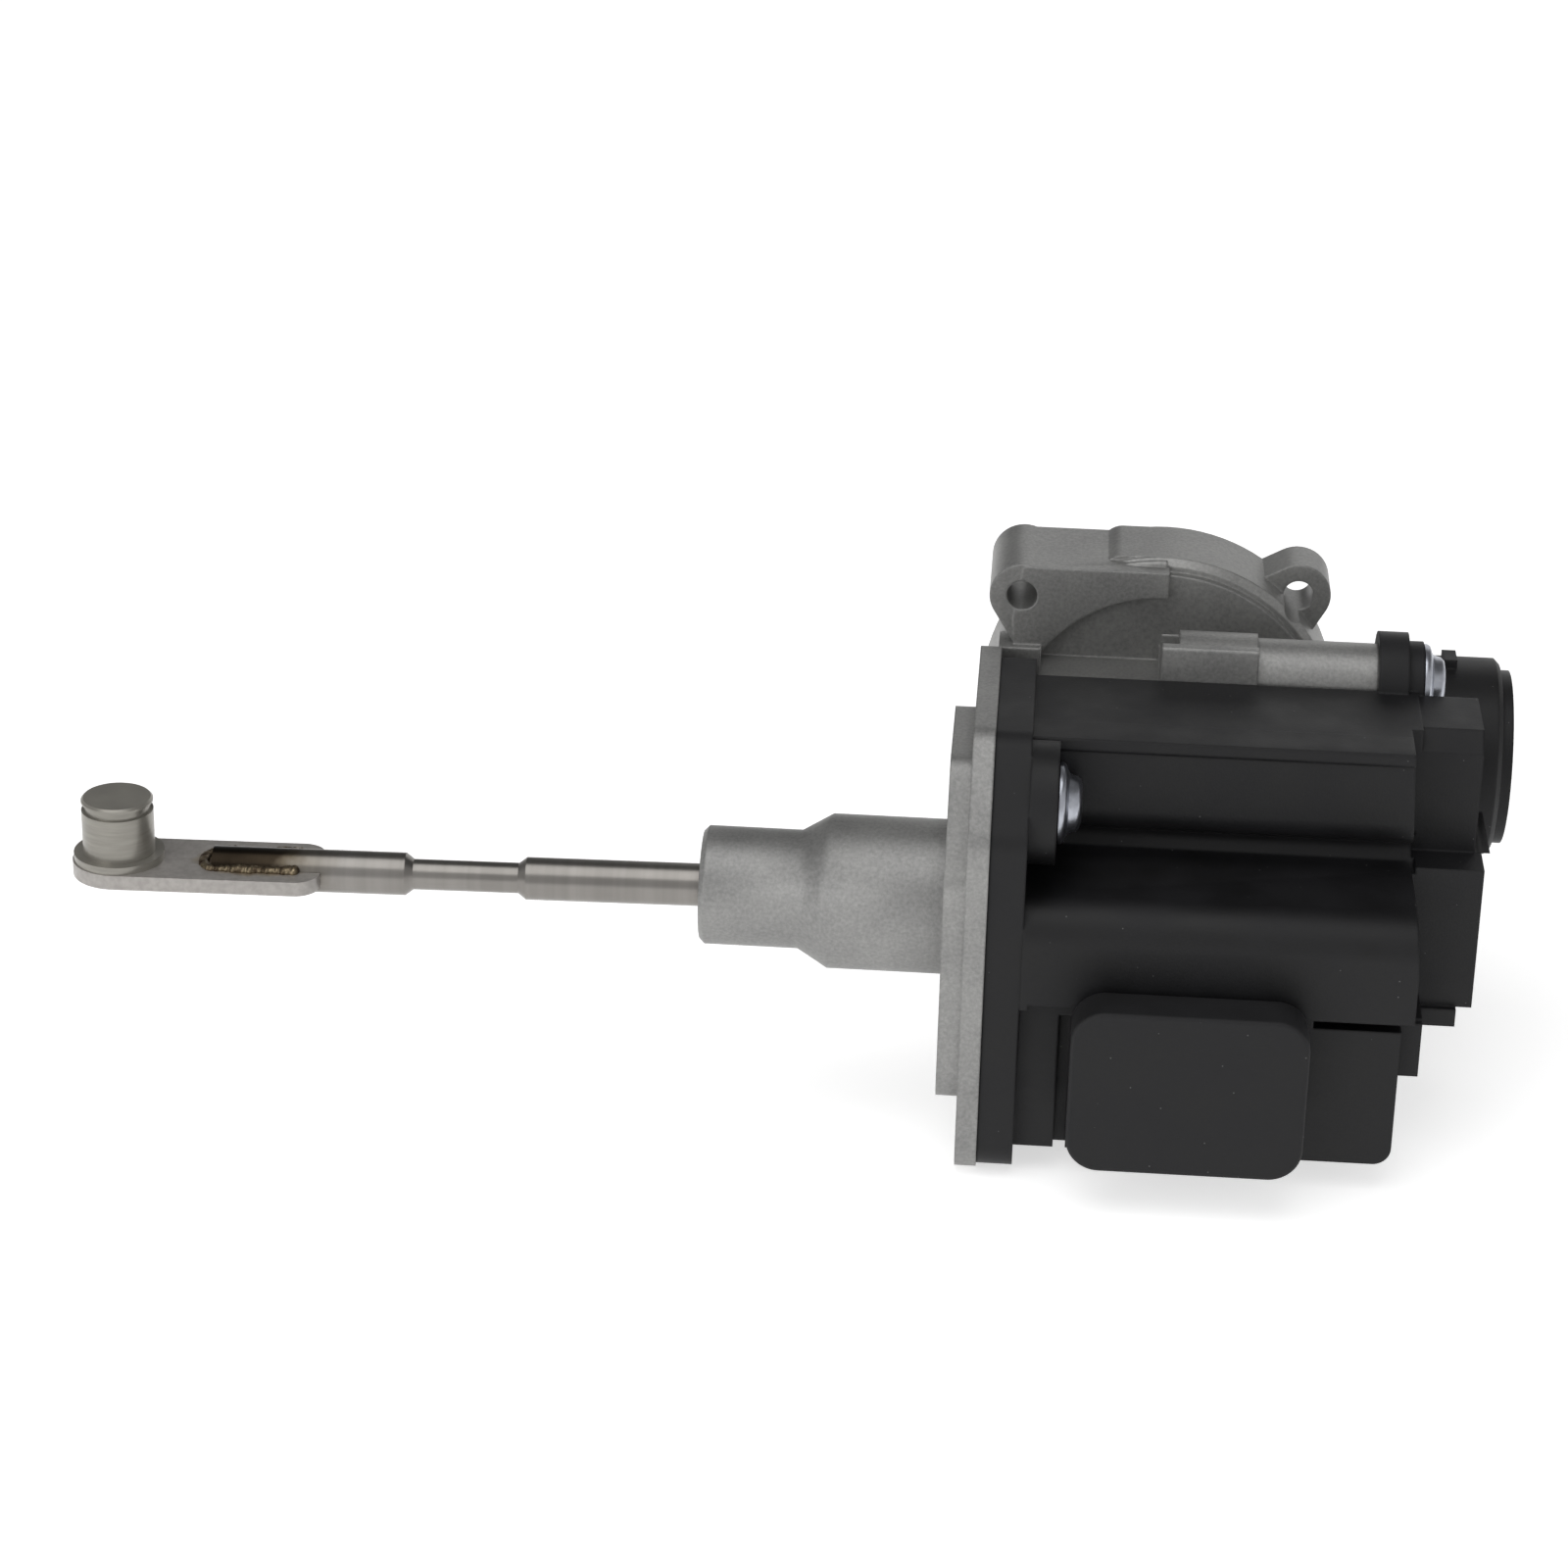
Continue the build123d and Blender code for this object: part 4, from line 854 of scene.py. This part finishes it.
def stamped_plate():
    """Tumbled sheet with a heat tint round the slot."""
    material, shader = start_material("stainless steel, stamped and tumbled", Metallic=0.5)
    place = add_node(material, "ShaderNodeTexCoord").outputs["Object"]
    grain = add_node(material, "ShaderNodeTexNoise", {"Vector": place, "Scale": per_mm(PLATE_GRAIN),
                                                      "Detail": 3.0})
    tone = add_node(material, "ShaderNodeValToRGB", {"Fac": grain.outputs["Fac"]})
    two_tones(tone, "#a09c98", "#aeaaa6")
    centre = (weld_start + weld_end) / 2
    seat = add_node(material, "ShaderNodeMapping", {"Vector": place, "Location": (-centre.x, -centre.y, 0.0)})
    weld_reach = PLATE_STRETCH[0] * (run_length / 2)
    flat = add_node(material, "ShaderNodeVectorMath", {0: seat.outputs["Vector"], 1: PLATE_STRETCH},
                    operation="MULTIPLY")
    reach = add_node(material, "ShaderNodeVectorMath", {0: flat.outputs["Vector"]}, operation="LENGTH")
    cloud = add_node(material, "ShaderNodeTexNoise", {"Vector": place, "Scale": per_mm(PLATE_CLOUD),
                                                      "Detail": 3.0})
    shift = add_node(material, "ShaderNodeMath", {0: cloud.outputs["Fac"], 1: PLATE_TINT_SHIFT},
                     operation="MULTIPLY")
    blurred = add_node(material, "ShaderNodeMath", {0: reach.outputs["Value"], 1: shift.outputs["Value"]},
                       operation="ADD")
    burn = add_node(material, "ShaderNodeMapRange", {"Value": blurred.outputs["Value"],
                                                     "From Min": weld_reach + PLATE_TINT_FROM,
                                                     "From Max": weld_reach + PLATE_TINT_TO})
    tint = add_node(material, "ShaderNodeValToRGB", {"Fac": burn.outputs["Result"]})
    two_tones(tint, "#5a4635", "#ffffff", 0.0, 1.0)
    for position, code in ((0.3, "#85705a"), (0.55, "#c9b699"), (0.8, "#ece6da")):
        stop = tint.color_ramp.elements.new(position)
        stop.color = srgb(code)
    tinted = add_node(material, "ShaderNodeMix", {"Factor": 1.0, "A": tone.outputs["Color"],
                                                  "B": tint.outputs["Color"]}, data_type="RGBA",
                      blend_type="MULTIPLY")
    link(material, tinted.outputs[2], shader, "Base Color")
    gloss = add_node(material, "ShaderNodeMapRange", {"Value": cloud.outputs["Fac"], "From Min": 0.3,
                                                      "From Max": 0.7, "To Min": 0.3, "To Max": 0.42})
    link(material, gloss.outputs["Result"], shader, "Roughness")
    bump = add_node(material, "ShaderNodeBump", {"Height": grain.outputs["Fac"], "Strength": 0.12,
                                                 "Distance": 0.02 * MM})
    link(material, bump.outputs["Normal"], shader, "Normal")
    return material


plate_finish = stamped_plate()
print("finish:", plate_finish.name)

# %% [markdown]
# The weld itself froze in air. Its ripples are dull brown where the oxide is thick and bare grey on their
# crests, so a noise a millimetre wide mixes the two. The bare grey is the glossier of them.

# %% Weld metal
OXIDE_PATCH = 1.1
OXIDE_GRAIN = 0.3


def weld_metal():
    """Frozen weld with patches of brown oxide."""
    material, shader = start_material("weld metal, oxidised", Metallic=0.9)
    place = add_node(material, "ShaderNodeTexCoord").outputs["Object"]
    patches = add_node(material, "ShaderNodeTexNoise", {"Vector": place, "Scale": per_mm(OXIDE_PATCH),
                                                        "Detail": 4.0})
    tone = add_node(material, "ShaderNodeValToRGB", {"Fac": patches.outputs["Fac"]})
    two_tones(tone, "#3a2c20", "#8d8069", 0.35, 0.7)
    link(material, tone.outputs["Color"], shader, "Base Color")
    gloss = add_node(material, "ShaderNodeMapRange", {"Value": patches.outputs["Fac"], "From Min": 0.35,
                                                      "From Max": 0.7, "To Min": 0.55, "To Max": 0.3})
    link(material, gloss.outputs["Result"], shader, "Roughness")
    fine = add_node(material, "ShaderNodeTexNoise", {"Vector": place, "Scale": per_mm(OXIDE_GRAIN),
                                                     "Detail": 2.0})
    bump = add_node(material, "ShaderNodeBump", {"Height": fine.outputs["Fac"], "Strength": 0.5,
                                                 "Distance": 0.06 * MM})
    link(material, bump.outputs["Normal"], shader, "Normal")
    return material


finishes["weld_metal"] = weld_metal()
print("finish:", finishes["weld_metal"].name)

# %% [markdown]
# Everything else gets its finish from a short list: the ground pin, bright zinc on the screws, bronze,
# copper, ferrite, rubber and the green board. Each is two close tones mixed by a noise of a real size, and
# the same noise lifts the surface a few microns. The noise may be squeezed along one axis, as grinding marks
# are. Each line reads: the name, the dark and the light tone, the grain and its height in millimetres.

# %% Plain finishes with grain
def grained(name, dark, light, grain_mm, bump_mm, squeeze=(1, 1, 1), **sockets):
    """A finish of two close tones and one grain."""
    material, shader = start_material(name, **sockets)
    place = add_node(material, "ShaderNodeTexCoord").outputs["Object"]
    scale = tuple(per_mm(grain_mm) * part for part in squeeze)
    mapped = add_node(material, "ShaderNodeMapping", {"Vector": place, "Scale": scale})
    grain = add_node(material, "ShaderNodeTexNoise", {"Vector": mapped.outputs["Vector"], "Scale": 1.0,
                                                      "Detail": 3.0})
    tone = add_node(material, "ShaderNodeValToRGB", {"Fac": grain.outputs["Fac"]})
    two_tones(tone, dark, light)
    link(material, tone.outputs["Color"], shader, "Base Color")
    bump = add_node(material, "ShaderNodeBump", {"Height": grain.outputs["Fac"], "Strength": 0.4,
                                                 "Distance": bump_mm * MM})
    link(material, bump.outputs["Normal"], shader, "Normal")
    return material


GRINDING = (0.1, 0.1, 1.0)
finishes |= {
    "inner_moulding": grained("natural acetal, moulded", "#c9c4b0", "#d8d4c2", 0.8, 0.01, Roughness=0.4),
    "plated_screw": grained("steel, bright zinc plate", "#a9acb4", "#b9bcc4", 0.8, 0.003, Metallic=1.0,
                            Roughness=0.3),
    "ground_steel": grained("steel, ground", "#8c8982", "#97948c", 0.5, 0.002, GRINDING, Metallic=0.5,
                            Roughness=0.3),
    "bronze": grained("bronze, sintered", "#8f6b3c", "#b58d55", 0.4, 0.01, Metallic=1.0, Roughness=0.35),
    "copper_wire": grained("copper wire, enamelled", "#8a4526", "#b5663c", 0.5, 0.05, Metallic=1.0,
                           Roughness=0.3),
    "magnet": grained("ferrite, pressed", "#2a2a2c", "#3a3a3d", 0.6, 0.01, Roughness=0.6),
    "carbon": grained("carbon, pressed", "#161616", "#262626", 0.4, 0.01, Roughness=0.7),
    "board": grained("glass epoxy board, lacquered", "#1c4a2c", "#235a37", 1.5, 0.005, Roughness=0.35),
    "seal_rubber": grained("nitrile rubber, moulded", "#131313", "#1c1c1c", 0.8, 0.01, Roughness=0.6),
}
print("finishes so far:", len(finishes))

# %% [markdown]
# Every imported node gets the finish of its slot, except the link plate, which has its own. The pieces that
# were made here take the finish of the slot that they ride in.

# %% Hand out the finishes
slot_of = {entry["node"]: entry["material_slot"] for entry in frame["record"]["subparts"]}
for name, node in nodes.items():
    node.data.materials.clear()
    node.data.materials.append(plate_finish if name == "link_plate" else finishes[slot_of[name]])
dressed = [(weld, "weld_metal"), (cover, "cover_moulding"), (housing, "cast_aluminium")]
dressed += [(screw, "plated_screw") for screw in screws]
for piece, slot in dressed:
    piece.data.materials.clear()
    piece.data.materials.append(finishes[slot])
print("packed nodes dressed:", len(nodes), "new pieces dressed:", len(dressed))

# %% [markdown]
# The floor is a wide white sweep just under the lowest edge. Camera and mirror rays see it nearly white, as
# in the photograph, because it glows a little for them, and it keeps the soft shadow of the object. Other
# rays meet plain white paint.

# %% Floor
FLOOR_Z = cad_box[0][2] - 0.2 * MM
FLOOR_SIZE = 6.0
FLOOR_GLOW = 0.6
bpy.ops.object.select_all(action="DESELECT")
bpy.ops.mesh.primitive_plane_add(size=FLOOR_SIZE, location=(0, 0, FLOOR_Z))
floor = bpy.context.object
floor.name = "floor"
floor_paint, floor_shader = start_material("white sweep, matt paint", Roughness=0.9)
floor_shader.inputs["Base Color"].default_value = srgb("#f2f2f2")
path = add_node(floor_paint, "ShaderNodeLightPath")
seen = add_node(floor_paint, "ShaderNodeMath", {0: path.outputs["Is Camera Ray"],
                                                1: path.outputs["Is Glossy Ray"]}, operation="MAXIMUM")
glow = add_node(floor_paint, "ShaderNodeEmission", {"Color": (1, 1, 1, 1), "Strength": FLOOR_GLOW})
lifted = add_node(floor_paint, "ShaderNodeAddShader", {0: glow.outputs["Emission"],
                                                       1: floor_shader.outputs["BSDF"]})
shown = add_node(floor_paint, "ShaderNodeMixShader", {0: seen.outputs["Value"],
                                                      1: floor_shader.outputs["BSDF"],
                                                      2: lifted.outputs["Shader"]})
link(floor_paint, shown.outputs["Shader"], floor_paint.node_tree.nodes["Material Output"], "Surface")
floor.data.materials.append(floor_paint)
print("floor height in mm:", round(FLOOR_Z / MM, 2))

# %% [markdown]
# The room is light grey in front and at the horizon, and falls off to dark grey overhead and high at the
# back. That is what draws the dark upper third on the rod and on the snout, with a brighter middle below it.
# The fall-off follows the height of a direction plus a share of how far it points back. The camera alone sees
# the room pure white.

# %% World
ROOM_LIGHT = 0.62
ROOM_DARK = 0.13
FADE_FROM = 0.36
FADE_TO = 0.72
BACK_SHARE = 0.45
world = bpy.data.worlds.new("studio")
bpy.context.scene.world = world
world.use_nodes = True
sky = world.node_tree.nodes["Background"]
direction = add_node(world, "ShaderNodeTexCoord").outputs["Generated"]
part = add_node(world, "ShaderNodeSeparateXYZ", {"Vector": direction})
behind = add_node(world, "ShaderNodeMath", {0: part.outputs["Y"], 1: BACK_SHARE}, operation="MULTIPLY")
rise = add_node(world, "ShaderNodeMath", {0: part.outputs["Z"], 1: behind.outputs["Value"]}, operation="ADD")
fade = add_node(world, "ShaderNodeMapRange", {"Value": rise.outputs["Value"], "From Min": FADE_FROM,
                                              "From Max": FADE_TO, "To Min": ROOM_LIGHT, "To Max": ROOM_DARK},
                interpolation_type="SMOOTHSTEP")
light_path = add_node(world, "ShaderNodeLightPath")
strength = add_node(world, "ShaderNodeMix", {"Factor": light_path.outputs["Is Camera Ray"],
                                             "A": fade.outputs["Result"], "B": 1.0}, data_type="FLOAT")
sky.inputs["Color"].default_value = (1, 1, 1, 1)
link(world, strength.outputs[0], sky, "Strength")
print("world nodes:", len(world.node_tree.nodes))

# %% [markdown]
# Three soft boxes model the form: a large one overhead and a little in front for the tops, one at the front
# left for the long sides, and a weak one behind that lifts the rear edges off the white.

# %% Soft boxes
CENTRE = Vector((-0.02, -0.05, -0.02))


def soft_box(name, offset, size, power):
    """A square area lamp that faces the object."""
    data = bpy.data.lights.new(name, "AREA")
    data.size = size
    data.energy = power
    lamp = bpy.data.objects.new(name, data)
    bpy.context.scene.collection.objects.link(lamp)
    lamp.location = CENTRE + Vector(offset)
    lamp.rotation_euler = (-Vector(offset)).to_track_quat("-Z", "Y").to_euler()
    print(name, "size in m:", size, "power in W:", power)


soft_box("box_high_front", (-0.15, -0.25, 0.95), 0.9, 4.5)
soft_box("box_front_left", (-0.7, -0.8, 0.3), 0.6, 2.2)
soft_box("box_back", (0.2, 0.9, 0.35), 0.6, 0.9)
